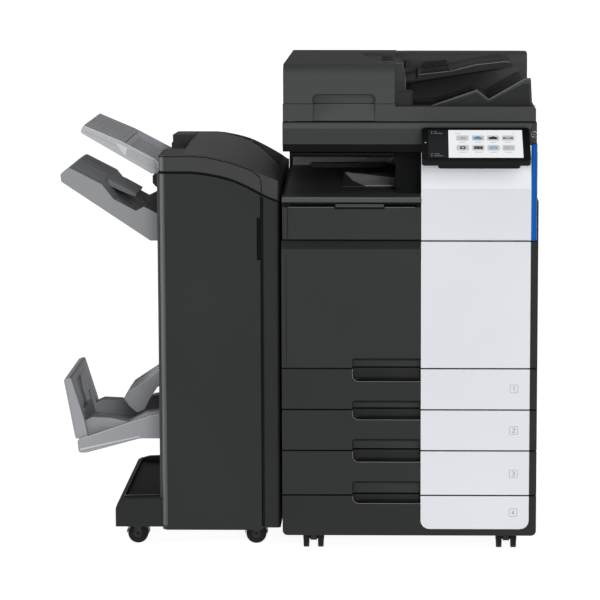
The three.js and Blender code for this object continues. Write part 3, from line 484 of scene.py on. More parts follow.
# ---- trays: number plates, recess liners, lift plates ------------------------------------------------
DIGITS = {
    1: [(0.12, 0.78), (0.36, 1), (0.36, 0)],
    2: [(0, 0.76), (0.1, 0.94), (0.3, 1), (0.5, 0.94), (0.6, 0.76), (0.52, 0.52), (0, 0), (0.62, 0)],
    3: [(0, 0.86), (0.16, 1), (0.44, 1), (0.6, 0.85), (0.56, 0.62), (0.3, 0.53), (0.56, 0.44), (0.6, 0.15),
        (0.44, 0),
        (0.16, 0), (0, 0.14)],
    4: [(0.46, 0), (0.46, 1), (0, 0.28), (0.62, 0.28)],
}
RECESSES = ((423, 479), (329, 375.5), (225, 281), (122.6, 176.6))
SEAMS = (455, 354, 253.3, 143.1)
TRAYS = ((355.5, 453.5), (254.8, 352.5), (144.6, 251.8), (43, 141.6))
for n, (zc, (r0, r1), seam, (t0, t1)) in enumerate(zip((406, 304, 197, 101), RECESSES, SEAMS, TRAYS), 1):
    tray = "tray_%d" % n
    above = "tray_%d" % (n - 1) if n > 1 else "front_door"
    plate = Piece("number_%d" % n, tray, "white", M["print"], 0)
    plate.stroke("y", rounded(242.5, 261.5, zc - 9.5, zc + 9.5, 3), 0.8, -1.1, -0.9, closed=True)
    plate.stroke("y", [(249 + 9.5 * a, zc - 5 + 10 * b) for a, b in DIGITS[n]], 1.2, -1.12, -0.9)
    plate.done()
    # liners inside the finger recess, the lower one darker as painted shade and the upper one lighter as painted light,
    # and beads along its edges: a pale one on the lower edge as painted highlight, a dark one under the upper edge as
    # painted shade
    low = Piece("recess_low_painted_shade_%d" % n, tray, "charcoal", M["side"], 0.4)
    low.box(-136.5, 26, 20.6, 21.8, r0 + 1, seam - 2)
    low.prism("x", [(1.5, r0 + 0.1), (21, r0 + 0.1), (21, r0 + 7), (16, r0 + 2.2), (6, r0 + 0.8)], -122, 26)
    low.done()
    high = Piece("recess_high_painted_light_%d" % n, above, "charcoal", M["recess"], 0.4)
    high.box(-136.5, 26, 20.6, 21.8, seam + 2, r1 - 1)
    high.prism("x", [(2, r1 - 0.1), (21, r1 - 0.1), (21, r1 - 8), (14, r1 - 3)], -131, 26)
    high.done()
    # pale bead along the recess's lower edge: painted highlight
    rim = Piece("recess_painted_highlight_%d" % n, tray, "charcoal", M["edge"], 0)
    path = [(26.8, r0)] + [(x, z) for x, z in arc(-122.5, r0 + 15, 15, 270, 180, 8)] + [(-137.5, seam - 2)]
    rim.tube([(x, 0.25, z) for x, z in path], 0.55, 6).done()
    # dark bead under the recess's upper edge: painted shade
    brow = Piece("recess_painted_shade_%d" % n, above, "charcoal", M["pit"], 0)
    path = [(26.8, r1)] + [(x, z) for x, z in arc(-131.5, r1 - 6, 6, 90, 180, 6)] + [(-137.5, seam + 2)]
    brow.tube([(x, 0.2, z) for x, z in path], 0.7, 6).done()
    # inside the tub: lift plate, side guides, end guide
    z = t1 - 4 - 70 + 4
    tub = Piece("lift_plate_%d" % n, tray, "charcoal_light", M["steel"], 0.4)
    tub.rounded("z", -236, 236, 120, 560, 12, z + 0.2, z + 2.4)
    for x in (-150, -50, 50, 150):
        tub.rounded("z", x - 14, x + 14, 150, 520, 8, z + 2.2, z + 3.2)
    tub.done()
    ends = Piece("paper_guides_%d" % n, tray, "charcoal_light", M["charcoal_light"], 0.8)
    for s in (-1, 1):
        ends.prism("x", [(180, z + 3), (420, z + 3), (420, z + 46), (408, z + 54), (192, z + 54), (180,
            z + 46)],
                   *sorted((s * 212, s * 216)))
        ends.box(*sorted((s * 190, s * 214)), 230, 370, z + 3, z + 6)
    ends.prism("y", [(-44, z + 3), (44, z + 3), (44, z + 40), (34, z + 50), (-34, z + 50), (-44, z + 40)],
        540, 546)
    ends.done()

# right end of the fronts: narrow dark strip with its own seam
for n, (t0, t1) in enumerate(TRAYS + ((456.5, 763.5),), 1):
    body = "tray_%d" % n if n < 5 else "front_door"
    Piece("end_strip_%d" % n, body, "charcoal", M["side"], 0.5).rounded("y", 291.4, 307.6, max(t0, 56) + 0.3,
        t1 - 0.3, 1.2, -0.5, 0.4) \
        .box(291.2, 291.8, -0.7, 0.2, max(t0, 56) + 1, t1 - 1).done()

# ---- front of the main body ---------------------------------------------------------------------------
Piece("door_swell", "front_door", "charcoal", M["charcoal"], 0) \
    .prism("x", [(0.3, 731)] + [(-0.9 * math.sin(math.pi * k / 8), 731 + 13.6 * k / 8) for k in range(1,
        8)] + [(0.3, 744.6)],
           -307.6, 26.6).done()
# dark band over the door's top bevel: painted dark reflection; the thin upright box is a groove
door = Piece("door_groove_and_painted_shade", "front_door", "charcoal", M["pit"], 0)
door.prism("x", [(0.3, 744.8), (0.1, 745), (14.6, 763.2), (15, 763.2), (15, 762.6)], -307.6, 26.4)
door.box(-297.4, -296.2, -0.12, 0.2, 459, 744).done()
toner = Piece("toner_door_marks", "toner_door", "charcoal", M["pit"], 0)
toner.box(-293.2, -291.8, -0.15, 0.3, 770, 845).done()
Piece("toner_door_side", "machine", "charcoal", M["charcoal"], 0.6).box(15, 26.8, 0, 14.4, 768.5,
    845.6).done()
# pale beads along the toner door's top edge: painted highlight
Piece("toner_door_painted_highlight", "toner_door", "charcoal", M["edge"], 0).tube([(-291, 0.4, 845.6), (-181, 0.4,
    845.6)], 0.5, 6) \
    .tube([(-59, 0.4, 845.6), (12, 0.4, 845.6)], 0.5, 6).done()
Piece("toner_door_lip", "toner_door", "charcoal", M["charcoal_light"], 0.5).box(-178, -62, 1.6, 4.4, 846,
    853).done()
# pale bead along the exit tray's lip: painted highlight
lip = Piece("exit_lip_painted_highlight", "machine", "charcoal", M["edge"], 0)
lip.tube([(-304, -0.6, 868.6), (26, -0.6, 868.6)], 0.6, 6).done()
# light grey back wall of the exit cavity with ribs, lighter than its own grey as painted light
hood_ = Piece("exit_wall_painted_light", "machine", "charcoal_light", M["cavity"], 0.5)
hood_.rounded("y", -299, -35.5, 899.5, 921.5, 1.5, 476.6, 479.3)
for k in range(12):
    hood_.box(-290 + k * 22, -287.5 + k * 22, 474.6, 477, 902, 919)
hood_.done()
Piece("exit_step", "machine", "charcoal_light", M["tray_black"], 0.2).box(-250.6, -59.4, 438.6, 440, 897.6,
    908.8) \
    .box(-250.6, -59.4, 440, 476, 908.1, 908.8).done()
# light grey wedge in the exit cavity: the same painted light
Piece("exit_wedge_painted_light", "machine", "charcoal_light", M["cavity"], 0.3).sheet(
    [[(-109, 151, 882.6), (-36, 151, 882.6)], [(-124, 190, 885.3), (-36, 190, 885.3)],
     [(-142, 231, 888.2), (-36, 226, 888.0)], [(-161, 262, 904.2), (-36, 240, 892.8)]], 1.6).done()
ribs = Piece("exit_tray_ribs", "machine", "charcoal", M["charcoal"], 0.4)
for x in (-150, -110, -70):
    z0 = 871.5 + 0.0641 * 250 if x > -165 else 873.5
    y0 = 270 if x > -165 else 40
    ribs.prism("x", [(y0, 871.5 + 0.0641 * (y0 - 20) - 0.3), (470, 900), (470, 902.4), (y0,
        871.5 + 0.0641 * (y0 - 20) + 0.6)], x, x + 3)
ribs.done()
rollers = Piece("exit_rollers", "machine", "rubber", M["rubber"], 0.4)
for x in (-262, -212, -162, -112, -62):
    rollers.disc("x", 7, x, x + 20, 472, 931)
rollers.disc("x", 2.6, -284, -40, 472, 931).done()
# near-black roof of the exit cavity under the scanner: painted shade
Piece("exit_roof_painted_shade", "machine", "charcoal", M["pit"], 0.6).box(-284, -36, 24, 470, 973.5, 977) \
    .prism("x", [(24, 977), (24, 968), (40, 966), (58, 973), (58, 977)], -284, -36).done()
# near-black wall, block and grooves at the right of the exit cavity: painted shade
inner = Piece("exit_side_block_painted_shade", "machine", "charcoal", M["pit"], 0.8)
inner.prism("y", [(-33.6, 873), (26, 873), (26, 977), (-33.6, 977)], 56.4, 58).box(-34.6, -33.1, 60, 470, 905,
    974)
for k in range(5):
    inner.rounded("y", -24, 18, 890 + k * 16, 896 + k * 16, 2, 55.2, 56.6)
inner.done()
# white cover: a lighter white sheet over its upper part as painted highlight, shut lines and its hidden upper edge
Piece("cover_painted_highlight", "machine", "white", M["white_painted_highlight"], 0).sheet(
    [[(28.4, 0.1 - 0.5 * math.sin(math.pi * k / 12), 884 + 9.4 * k), (289.6,
        0.1 - 0.5 * math.sin(math.pi * k / 12), 884 + 9.4 * k)]
     for k in range(13)], 0.3).done()
Piece("cover_edge", "machine", "white", M["white"], 0.3).prism("x", [(-0.4, 767.2), (0.4, 767.2), (0.4, 769),
    (-0.4, 768.6)], 28, 290).done()

# ---- scanner ---------------------------------------------------------------------------------------------
# near-black sheet on the scanner's down-facing lower bevel: painted shade
Piece("scanner_bevel_painted_shade", "machine", "charcoal", M["pit"], 0).prism(
    "x", [(14.6, 977.9), (-0.25, 995.8), (-0.25, 997), (0.6, 997), (15.8, 978.6)], -303.6, 290).done()
Piece("scanner_brow", "machine", "charcoal_light", M["feeder"], 0).prism(
    "x", [(0.4, 1033)] + [(-0.8 * math.sin(math.pi * k / 6), 1033 + 15 * k / 6) for k in range(1, 6)] + [(0.4,
        1048)],
    -303.4, 289.6).done()
bed = Piece("scale_strips", "machine", "white", M["ui_tile"], 0.2)
bed.box(-290.5, -274, 20, 620, 1049.5, 1050.1).box(-272, 290, 612, 620.5, 1049.5, 1050.1).done()
marks = Piece("scale_marks", "machine", "black", M["ui_dark"], 0)
for k in range(24):
    long = 7 if k % 4 else 12
    marks.box(-290, -290 + long, 40 + k * 24, 40.8 + k * 24, 1050.0, 1050.25)
for k in range(22):
    marks.box(-260 + k * 25, -259.2 + k * 25, 612.6, 612.6 + (3 if k % 4 else 6), 1050.0, 1050.25)
marks.prism("z", [(-289, 26), (-279, 30), (-289, 34)], 1050.0, 1050.25).done()
rod = Piece("scan_rails", "machine", "charcoal_light", M["chrome"], 0)
rod.disc("x", 4, -284, 284, 60, 990.4).disc("x", 4, -284, 284, 580, 990.4).done()
lamp = Piece("scan_lamp", "scan_carriage", "black", M["ui_tile"], 0.3)
lamp.box(-268, -262, 44, 596, 1035.5, 1038).box(-256, -251, 44, 596, 1035.5, 1038).done()

# ---- document feeder -----------------------------------------------------------------------------------
Piece("platen_pad", "feeder", "white", M["pad"], 0.8).rounded("z", -288, 288, 24, 616, 6, 1050.4, 1052.4) \
    .rounded("z", -284, 284, 28, 612, 6, 1050.3, 1050.5).done()
hinge = Piece("feeder_hinges", "machine", "charcoal_light", M["steel"], 0.6)
for x in (-240, 190):
    hinge.prism("x", [(641, 1030), (668, 1030), (668, 1054), (656, 1053), (645, 1048), (641, 1046)], x,
        x + 44)
    hinge.disc("x", 3.4, x - 4, x + 48, 645.6, 1046)
hinge.done()
# pale bead along the fence's top edge: painted highlight
feeder = Piece("fence_lip_painted_highlight", "feeder", "charcoal_light", M["edge"], 0)
feeder.tube([(52, 22.3, 1087.4), (160, 22.3, 1124.6), (188, 22.3, 1102.4), (274.6, 22.3, 1151.6), (287, 22.3,
    1151.6)], 0.9, 6).done()
LANDING = ((-28, 1068.7, 80), (60, 1068.7, 84), (160, 1101.7, 92), (188, 1090.7, 150), (275.6, 1138.6, 170))
Piece("landing_shadow", "feeder", "black", M["pit"], 0).sheet([[(x, 52, z), (x, y, z)] for x, z,
    y in LANDING], 0.5).done()
# lighter liner and back wall of the landing under the document tray: painted light against the tray's shade
Piece("landing_liner", "feeder", "charcoal_light", M["landing"], 0).sheet(
    [[(x, y0, z), (x, 300, z), (x, 485, z)] for x, z, y0 in LANDING], 0.5).done()
back = Piece("landing_back", "feeder", "charcoal_light", M["landing"], 0.3)
back.prism("y", [(-26, 1070), (58, 1070), (160, 1103), (188, 1092), (274, 1140), (274, 1148), (-26, 1116)],
    484.6, 486).done()
fence = Piece("fence_facets", "feeder", "charcoal_light", M["side"], 0.3)
fence.prism("y", [(58, 1086), (158, 1118.6), (186, 1097), (270, 1140), (284, 1140), (285, 1086)], 21.2, 22.3)
fence.done()
# lighter triangles on the fence's face: painted light on its facets
Piece("fence_wedge_painted_light", "feeder", "charcoal_light", M["tray_face"], 0.3).prism(
    "y", [(112, 1087.6), (164, 1111), (146, 1087.6)], 20.4, 21.6).prism(
    "y", [(66, 1087.4), (156, 1117), (158, 1113), (82, 1087.4)], 20.4, 21.6).done()
line = Piece("feeder_lines", "feeder", "charcoal", M["pit"], 0)
line.box(-35, 299, -0.2, 0.4, 1088.3, 1089.5)
line.stroke("y", [(-32, 1116), (2, 1116), (2, 1089)], 0.9, 91.7, 92.3)
line.done()
spine = Piece("spine_trim", "feeder", "charcoal_light", M["feeder"], 0.6)
spine.rounded("y", 16, 286, 1146, 1152, 2, 484.4, 486.3).rounded("z", -20, 286, 510, 590, 8, 1185.6,
    1186.3).done()
# pale beads along the hood's edges: painted highlights
hood_edge = Piece("hood_painted_highlights", "feeder", "charcoal_light", M["edge"], 0)
hood_edge.tube([(-74, 189.8, 1182.6), (-46, 189.8, 1182.4)] + [(x, 189.8, z) for x, z in ((-38, 1178), (-22,
    1171), (-15.4, 1166))], 0.7, 6)
hood_edge.tube([(-45, 91.6, 1184), (-17.6, 91.6, 1184), (-10.4, 91.6, 1145), (-11.4, 91.6, 1122)], 0.6,
    6).done()
hood_top = Piece("hood_ribs", "feeder", "charcoal", M["side"], 0.4)
for k in range(9):
    hood_top.box(-70, -46, 204 + k * 24, 209 + k * 24, 1181.8, 1183.6)
hood_top.rounded("z", -68, -40, 216, 400, 3, 1182, 1182.9).done()
knurl = Piece("bracket_texture", "feeder", "charcoal_light", M["wall"], 0)
for k in range(7):
    for j in range(4):
        knurl.rounded("y", -42 + j * 6.5, -38.5 + j * 6.5, 1142 + k * 5.6, 1145.6 + k * 5.6, 1, 91.4, 92.2, 2)
knurl.done()
block = Piece("sensor_block", "feeder", "black", M["black"], 0.6)
block.prism("y", [(-11.4, 1152), (2.4, 1152), (2.4, 1168), (-1, 1170.4), (-11.4, 1170.4)], 434.6, 436.2) \
    .box(-12.6, -11.6, 434.6, 440, 1150, 1171).done()
# pale beads along the document tray's near edges: painted highlights
tray_edge = Piece("document_tray_painted_highlight", "document_tray", "charcoal", M["edge"], 0)
tray_edge.tube([(20, 129.2, 1154.2), (100, 129.2, 1163.2), (160, 129.2, 1178.2), (229, 129.2, 1186), (242,
    129.2, 1184.4)], 1.0, 6)
tray_edge.tube([(20, 130.4, 1142), (90, 130.2, 1152.4), (212, 130.2, 1171.4), (240, 130.2, 1178)], 0.6,
    6).done()
# black bead and band under the document tray's near edge: painted shadow
under = Piece("document_tray_painted_shadow", "document_tray", "black", M["pit"], 0)
under.tube([(8, 129.4, 1134), (90, 129.4, 1148), (212, 129.4, 1167)], 1.1, 6)
under.prism("y", [(-20, 1131.4), (6, 1134.4), (90, 1148.4), (208, 1166.8), (206, 1168.6), (88, 1150.6), (4,
    1137), (-20, 1134)], 128.7, 129.2)
under.done()
ribs = Piece("document_tray_ribs", "document_tray", "charcoal", M["charcoal"], 0.5)
for y in (146, 206, 354, 414):
    ribs.tube([(104, y, 1164), (160, y, 1178), (226, y, 1186)], 1.1, 6)
ribs.done()
cover = Piece("feed_cover_lines", "feed_cover", "charcoal", M["pit"], 0)
cover.stroke("z", [(-296, 60), (-100, 60), (-100, 140)], 0.8, 1186.6, 1187.0)
cover.stroke("y", rounded(-231.6, -82.4, 1094.5, 1115.6, 11), 0.9, 0.7, 1.3).done()
grip = Piece("grip_liner", "feeder", "charcoal", M["feeder"], 0.4)
grip.prism("x", [(5.3, 1053), (5.3, 1064), (11.6, 1086), (12.2, 1092), (11, 1092), (10.6, 1086), (4.3,
    1064.4), (4.3, 1053)], -230, -84).done()
inside = Piece("feed_cover_inside", "feed_cover", "black", M["side"], 0.5)
for k in range(7):
    inside.prism("x", [(60, 1177.6), (440, 1177.6), (440, 1168), (400, 1160), (100, 1160), (60, 1170)],
        -280 + k * 24, -277 + k * 24)
inside.done()
path_ = Piece("feed_rollers", "feeder", "rubber", M["rubber"], 0.5)
for x, z in ((-140, 1117), (-200, 1119), (-252, 1113)):
    path_.disc("y", 3.5, 66, 436, x, z)
    for y in (110, 200, 270, 350):
        path_.disc("y", 10, y, y + 32, x, z)
path_.done()
lever = Piece("feed_lever", "feeder", "blue", M["lever"], 0.8)
lever.prism("y", [(-282, 1138), (-262, 1138), (-256, 1156), (-266, 1162), (-282, 1150)], 46, 52).disc("y", 5,
    44, 54, -272, 1146).done()

# ---- finisher ---------------------------------------------------------------------------------------------
SEAM = [(-602.5, 925.8), (-522.8, 925.8), (-495, 922.6), (-467.6, 918), (-445, 912.6), (-423, 906), (-390,
    891.4),
        (-358, 874), (-336, 863.6), (-313, 855.4)]
FASCIA = [(-602.5, 966.9), (-515.6, 966.9), (-489, 964.7), (-467, 960.4), (-434, 952.5), (-401, 941.5),
          (-367.6, 928), (-354.5, 922.5), (-313, 906)]
HUMP = [(-602.5, 978), (-497, 978), (-476, 975.6), (-456, 972), (-432, 966.5), (-408.5, 959), (-385, 948),
        (-361, 935), (-337, 921.5), (-318, 908.6), (-313, 905)]
SWELL = [(20, 0), (30, 0), (70, 0.16), (130, 0.4), (210, 0.66), (300, 0.86), (400, 1), (600, 1)]


def along(line, x):
    for (a, p), (b, q) in zip(line, line[1:]):
        if x <= b:
            return p + (q - p) * (x - a) / (b - a)
    return line[-1][1]


def swell(x, y):
    low = along(FASCIA, x)
    return low + along(SWELL, y) * (along(HUMP, x) - low)


def corner(z, y_back=560):  # round the finisher's left front corner, from the side to the front
    return [(-602.6, y_back, z), (-602.6, 40, z)] + [(a, b, z) for a, b in arc(-586.5, 36, 16.1, 180, 270, 6)]


seam = Piece("lid_seam", "finisher_lid", "charcoal", M["pit"], 0)
seam.tube(corner(928) + [(x, 19.9, z + 2.2) for x, z in SEAM[1:-1]] + [(-316, 19.9, 858.6)], 1.8, 6).done()
fascia = Piece("fascia_line", "finisher_lid", "charcoal", M["pit"], 0)
fascia.tube(corner(964.6, 196) + [(x, 19.9, along(FASCIA, x) - 2) for x in (-560, -515.6, -489, -467, -434,
    -401, -378)]
            + [(-369, 19.9, 923), (-361, 19.9, 916), (-357.4, 19.9, 906), (-356, 19.9, 878)], 1.1, 6).done()
gap = Piece("door_gap", "machine", "charcoal", M["pit"], 0.2)
gap.box(-357.4, -352, 19.2, 20.5, 60, 868).done()
ridge = Piece("hump_ridge", "finisher_lid", "charcoal", M["side"], 0)
path = [(-481, 552), (-446, 530), (-416, 515), (-393, 498), (-368, 442), (-351, 392), (-336, 350), (-326,
    300)]
for k in range(3):
    ridge.tube([(x, min(y + 14 * k, 574), swell(x, y) + 0.3) for x, y in path], 1.3 if k == 0 else 0.6, 6)
ridge.done()
patch = Piece("hump_back", "finisher_lid", "charcoal", M["side"], 0)
patch.sheet([[(x, y, swell(x, y) + 0.5), (x, (y + 576) / 2, swell(x, (y + 576) / 2) + 0.5), (x, 576, swell(x,
    576) + 0.5)]
             for x, y in path], 0.9).done()
KNOTS = [-546, -522, -515.6, -497, -489, -476, -467, -456, -434, -432, -408.5, -401, -385, -367.6, -361,
    -354.5, -337, -322]
# lighter sheet over the hump's front slope: painted highlight
skin = Piece("hump_painted_highlight", "finisher_lid", "charcoal", M["lid_painted_highlight"], 0)
ends = [along([(-546, 572), (-481, 550)] + path[1:], x) - 3 for x in KNOTS]
skin.sheet([[(x, 31 + (e - 31) * k / 15, swell(x, 31 + (e - 31) * k / 15) + 0.6) for k in range(16)]
            for x, e in zip(KNOTS, ends)], 0.5).done()
mouth = Piece("upper_mouth", "finisher_lid", "charcoal", M["lid"], 0.4)
mouth.box(-598, -548, 204.5, 206, 949, 966).box(-598, -548.4, 398.2, 399.6, 949, 984).box(-549.2, -547.6, 206,
    399, 949, 972)
mouth.box(-600, -549, 206, 399, 947.6, 948.6)
for k in range(5):
    mouth.prism("x", [(230 + k * 36, 948), (238 + k * 36, 948), (238 + k * 36, 958), (230 + k * 36, 958)],
        -598, -552)
mouth.done()
latch = Piece("lid_latch", "finisher_lid", "charcoal_light", M["wall"], 0.5)
latch.sheet([[(-340, y, swell(-340, y) + 1.6), (-330, y, swell(-330, y) + 1.6)] for y in (240, 252, 264)],
    3).done()
rail = Piece("finisher_side_rail", "machine", "charcoal", M["side"], 0.8)
rail.prism("z", [(-608.2, 36), (-603, 31), (-602.7, 100), (-608.2, 100)], 128.6, 923).done()
# near-black sheet in the door's grip notch: painted shade
scoop = Piece("door_scoop_painted_shade", "machine", "charcoal", M["pit"], 0.4)
scoop.box(-365.6, -357.6, 23.2, 24.4, 719, 815).done()
strip = Piece("strip_lines", "machine", "charcoal", M["pit"], 0)
strip.box(-316.2, -315.2, 20.6, 22.2, 64, 852).done()
# pale bead along the foot's top edge: painted highlight
foot = Piece("foot_rim_painted_highlight", "machine", "charcoal", M["rim"], 0)
foot.tube([(-611, 74.5, 127.2), (-690, 74.5, 125.4)] + [(a, b, 124.4) for a, b in arc(-688, 87, 12.4, 270,
    180, 5)]
          + [(-700.4, 544, 123.8)], 1.6, 8).done()
foot = Piece("foot_dish", "machine", "charcoal", M["side"], 0)
foot.sheet([[(x, y, z) for y in (76, 230, 400, 555)] for x, z in ((-699, 112), (-690, 111), (-670, 110.7),
    (-640, 110.7), (-613, 111))], 0.8).done()
inner = Piece("finisher_knobs", "machine", "blue", M["lever"], 0.8)
for x, z in ((-500, 680), (-420, 672), (-520, 470)):
    inner.disc("y", 13, 86 if z > 600 else 112, 98 if z > 600 else 124, x, z).disc("y", 5, 70, 90, x, z)
inner.prism("y", [(-450, 440), (-410, 440), (-404, 452), (-410, 500), (-420, 504), (-424, 456), (-450, 452)],
    104, 119).done()
plates = Piece("finisher_plates", "machine", "charcoal_light", M["steel"], 0.5)
plates.rounded("y", -556, -364, 646, 716, 6, 88, 90.2).rounded("y", -552, -388, 424, 512, 6, 117.6,
    120.2).done()
feed = Piece("finisher_rollers", "machine", "rubber", M["rubber"], 0.4)
for z in (600, 560, 380):
    feed.disc("y", 4, 70, 540, -350, z)
    for y in (120, 240, 360, 480):
        feed.disc("y", 9, y, y + 26, -350, z)
feed.done()
# lighter curved band on the door's rounded left edge: painted highlight
edge_highlight_band = Piece("door_edge_painted_highlight", "finisher_door", "charcoal", M["rim"], 0)
outer, inner_ = arc(-586.5, 36, 16.35, 188, 262, 8), arc(-586.5, 36, 15.9, 188, 262, 8)
edge_highlight_band.prism("z", outer + inner_[::-1], 62, 923).done()
# the same painted highlight on the lid's rounded left edge
edge_highlight_band = Piece("lid_edge_painted_highlight", "finisher_lid", "charcoal", M["rim"], 0)
edge_highlight_band.prism("z", outer + inner_[::-1], 931, 963).done()
pull = Piece("door_inner_ribs", "finisher_door", "charcoal", M["side"], 0.5)
for k in range(5):
    pull.box(-588, -374, 39.4, 42, 140 + k * 150, 144 + k * 150)
pull.rounded("y", -560, -402, 300, 420, 10, 38.8, 41).done()
pull = Piece("front_door_ribs", "front_door", "charcoal", M["side"], 0.5)
for k in range(6):
    pull.box(-280 + k * 108, -277 + k * 108, 19.4, 24, 486, 738)
pull.rounded("y", -200, 200, 560, 680, 10, 19, 21).done()

# ---- output bins ----------------------------------------------------------------------------------------------
def fan(z_of, xs, ys):
    return [[(x, y, z_of(x)) for y in ys] for x in xs]


UP = [(-795, 1031), (-705, 993), (-616, 946)]
FLOOR = [(-700, 975), (-684, 966), (-604, 925.4)]
top = Piece("upper_bin_top", "machine", "bin_grey", M["bin_top"], 0.3)
top.sheet(fan(lambda x: along(UP, x) + 0.7, (-793, -760, -730, -704), (137, 315, 493)), 0.6)
top.sheet(fan(lambda x: along(FLOOR, x) + 0.9, (-698, -684, -640, -612), (153, 315, 477)), 0.6)
for y in (166, 206, 246, 286, 344, 384, 424, 464):
    top.prism("y", [(-791, along(UP, -791)), (-707, along(UP, -707)), (-707, along(UP, -707) + 2), (-791,
        along(UP, -791) + 2)], y, y + 4)
    top.prism("y", [(-683, 965.4), (-613, along(FLOOR, -613)), (-613, along(FLOOR, -613) + 2), (-683, 968)],
        y, y + 4)
top.done()
light = Piece("upper_bin_ramp", "machine", "bin_grey", M["bin_light"], 0.2)
light.prism("y", [(-717, 990), (-686, 977), (-693, 956)], 129.3, 129.9)
light.sheet([[(-703, y, 992.6) for y in (152, 478)], [(-692, y, 971.6) for y in (152, 478)]], 0.6)
light.tube([(-793, 130.3, 1030), (-705, 130.3, 992.8), (-617, 130.3, 946)], 0.8, 6).done()
window = Piece("upper_bin_window", "machine", "bin_grey", M["bin_top"], 0.2)
window.prism("y", [(-684, 972), (-622, 943.5), (-618, 921), (-688, 955)], 129.4, 130.1)
window.prism("y", [(-790, 1016), (-700, 975), (-700, 973), (-790, 1014)], 129.5, 130.1).done()
MAIN = [(-829.7, 927), (-765, 893.7), (-751.5, 886.8)]
DEEP = [(-752, 892), (-738, 868), (-724, 846), (-668, 800), (-604, 769.8)]
top = Piece("main_bin_top", "main_bin", "bin_dark", M["bin_shade"], 0.3)
top.sheet(fan(lambda x: along(MAIN, x) + 0.6, (-828, -800, -765, -753), (138, 315, 492)), 0.5)
top.sheet(fan(lambda x: along(DEEP, x) + 0.9, (-738, -724, -696, -668, -640, -606), (147, 315, 483)), 0.6)
for y in (190, 300, 320, 430):
    top.prism("y", [(-822, along(MAIN, -822)), (-760, along(MAIN, -760)), (-760, along(MAIN, -760) + 2),
        (-822, along(MAIN, -822) + 2)], y, y + 5)
    top.prism("y", [(-722, 844), (-668, 799.4), (-610, 772), (-610, 774.6), (-668, 802.4), (-722, 847)], y,
        y + 5)
top.done()
# darker ramp beside the finisher: painted shade
ramp = Piece("main_bin_ramp_painted_shade", "main_bin", "bin_dark", M["bin_shade"], 0.8)
ramp.prism("y", [(-750, 890), (-712, 872), (-676, 852), (-680, 845), (-716, 860), (-742, 872)], 232, 398)
ramp.done()
book = Piece("booklet_bed_ribs", "machine", "bin_grey", M["bin_top"], 0.4)
for y in (236, 262, 288, 338, 364, 390):
    book.tube([(-796, y, 270.6), (-744, y, 262.6), (-699, y, 258.6), (-654, y, 281.8), (-612, y, 298.6)], 1.5,
        6)
book.done()
book = Piece("booklet_rim", "machine", "bin_grey", M["bin_light"], 0.2)
book.tube([(-820, 150.2, 248.6), (-643, 150.2, 308.6), (-606, 150.2, 315.6)], 0.9, 6)
book.tube([(-829, 158, 256), (-853.9, 158, 394)], 0.8, 6)
book.prism("y", [(-816, 222), (-668, 256), (-668, 259), (-816, 226)], 149.4, 150.1).done()
flap = Piece("flap_ribs", "booklet_flap", "bin_grey", M["bin_light"], 0.3)
flap.tube([(-700, 230.2, 356.4), (-617, 230.2, 412.6)], 0.9, 6)
for y in (262, 315, 368):
    flap.tube([(-708, y, 346), (-700, y, 358.4), (-620, y, 412.4)], 1.4, 6)
flap.done()

# ---- supplies behind the doors -----------------------------------------------------------------------------------
for k, (x, tone) in enumerate(zip((-250, -182, -114, -46), ("yellow", "magenta", "cyan", "ink"))):
    cap = Piece("bottle_cap_" + tone, "machine", "charcoal_light", M[tone], 0.6)
    cap.disc("y", 19, 46.4, 50, x, 806.5, 32).disc("y", 10, 42, 47, x, 806.5, 24)
    cap.box(x - 3, x + 3, 40.6, 44, 794, 819).rounded("y", x - 26, x + 26, 830.5, 834, 1, 64.6, 66.2).done()
handles = Piece("drum_handles", "machine", "charcoal_light", M["lever"], 1.2)
units = Piece("drum_fronts", "machine", "charcoal_light", M["side"], 0.8)
for x in (-225, -95, 35, 165):
    handles.stroke("y", [(x + 20, 618), (x + 20, 606), (x + 50, 606), (x + 50, 618)], 6, 33.4, 38.2)
    units.rounded("y", x + 12, x + 58, 628, 684, 5, 36.2, 38.4).disc("y", 9, 33.6, 37, x + 35, 664)
handles.prism("y", [(228, 520), (252, 520), (262, 590), (252, 600), (240, 596)], 42, 48).disc("y", 12, 40, 49,
    241, 532)
handles.done()
units.rounded("y", -246, 214, 505, 540, 6, 46.2, 52.2)
for k in range(8):
    units.rounded("y", -236 + k * 56, -200 + k * 56, 512, 533, 3, 45.2, 46.4)
units.rounded("y", -276, 276, 722, 750, 6, 46.4, 48.4).done()

# ---- right side -------------------------------------------------------------------------------------------------
vent = Piece("side_vents", "machine", "charcoal", M["pit"], 0.3)
for k in range(13):
    vent.prism("y", [(305.7, 566 + k * 14), (306.8, 567 + k * 14), (306.8, 571.5 + k * 14), (305.7,
        573 + k * 14)], 592, 652)
vent.rounded("x", 300, 420, 60, 92, 12, 305.7, 306.5).done()
frame_ = Piece("side_frames", "machine", "charcoal", M["charcoal"], 0.4)
frame_.ring("x", rounded(586, 658, 556, 756, 5), rounded(588.5, 655.5, 558.5, 753.5, 4), 305.6, 307)
frame_.ring("x", rounded(294, 426, 54, 98, 15), rounded(297, 423, 57, 95, 13), 305.6, 307)
frame_.box(305.6, 306.6, 40, 664, 858, 860).done()
latch = Piece("right_door_latch", "right_door", "black", M["gloss"], 0.8)
latch.rounded("x", 124, 150, 560, 680, 8, 312.4, 313.2).done()
grip = Piece("right_door_grip", "right_door", "charcoal", M["pit"], 0.5)
grip.rounded("x", 128, 146, 566, 674, 6, 313.1, 313.35).ring("x", rounded(116, 564, 300, 848, 5), rounded(118,
    562, 302, 846, 4), 312.8, 313.3)
for k in range(6):
    grip.rounded("x", 180, 500, 330 + k * 18, 336 + k * 18, 3, 312.8, 313.3)
grip.done()
ribs = Piece("right_door_ribs", "right_door", "charcoal", M["charcoal_light"], 0.4)
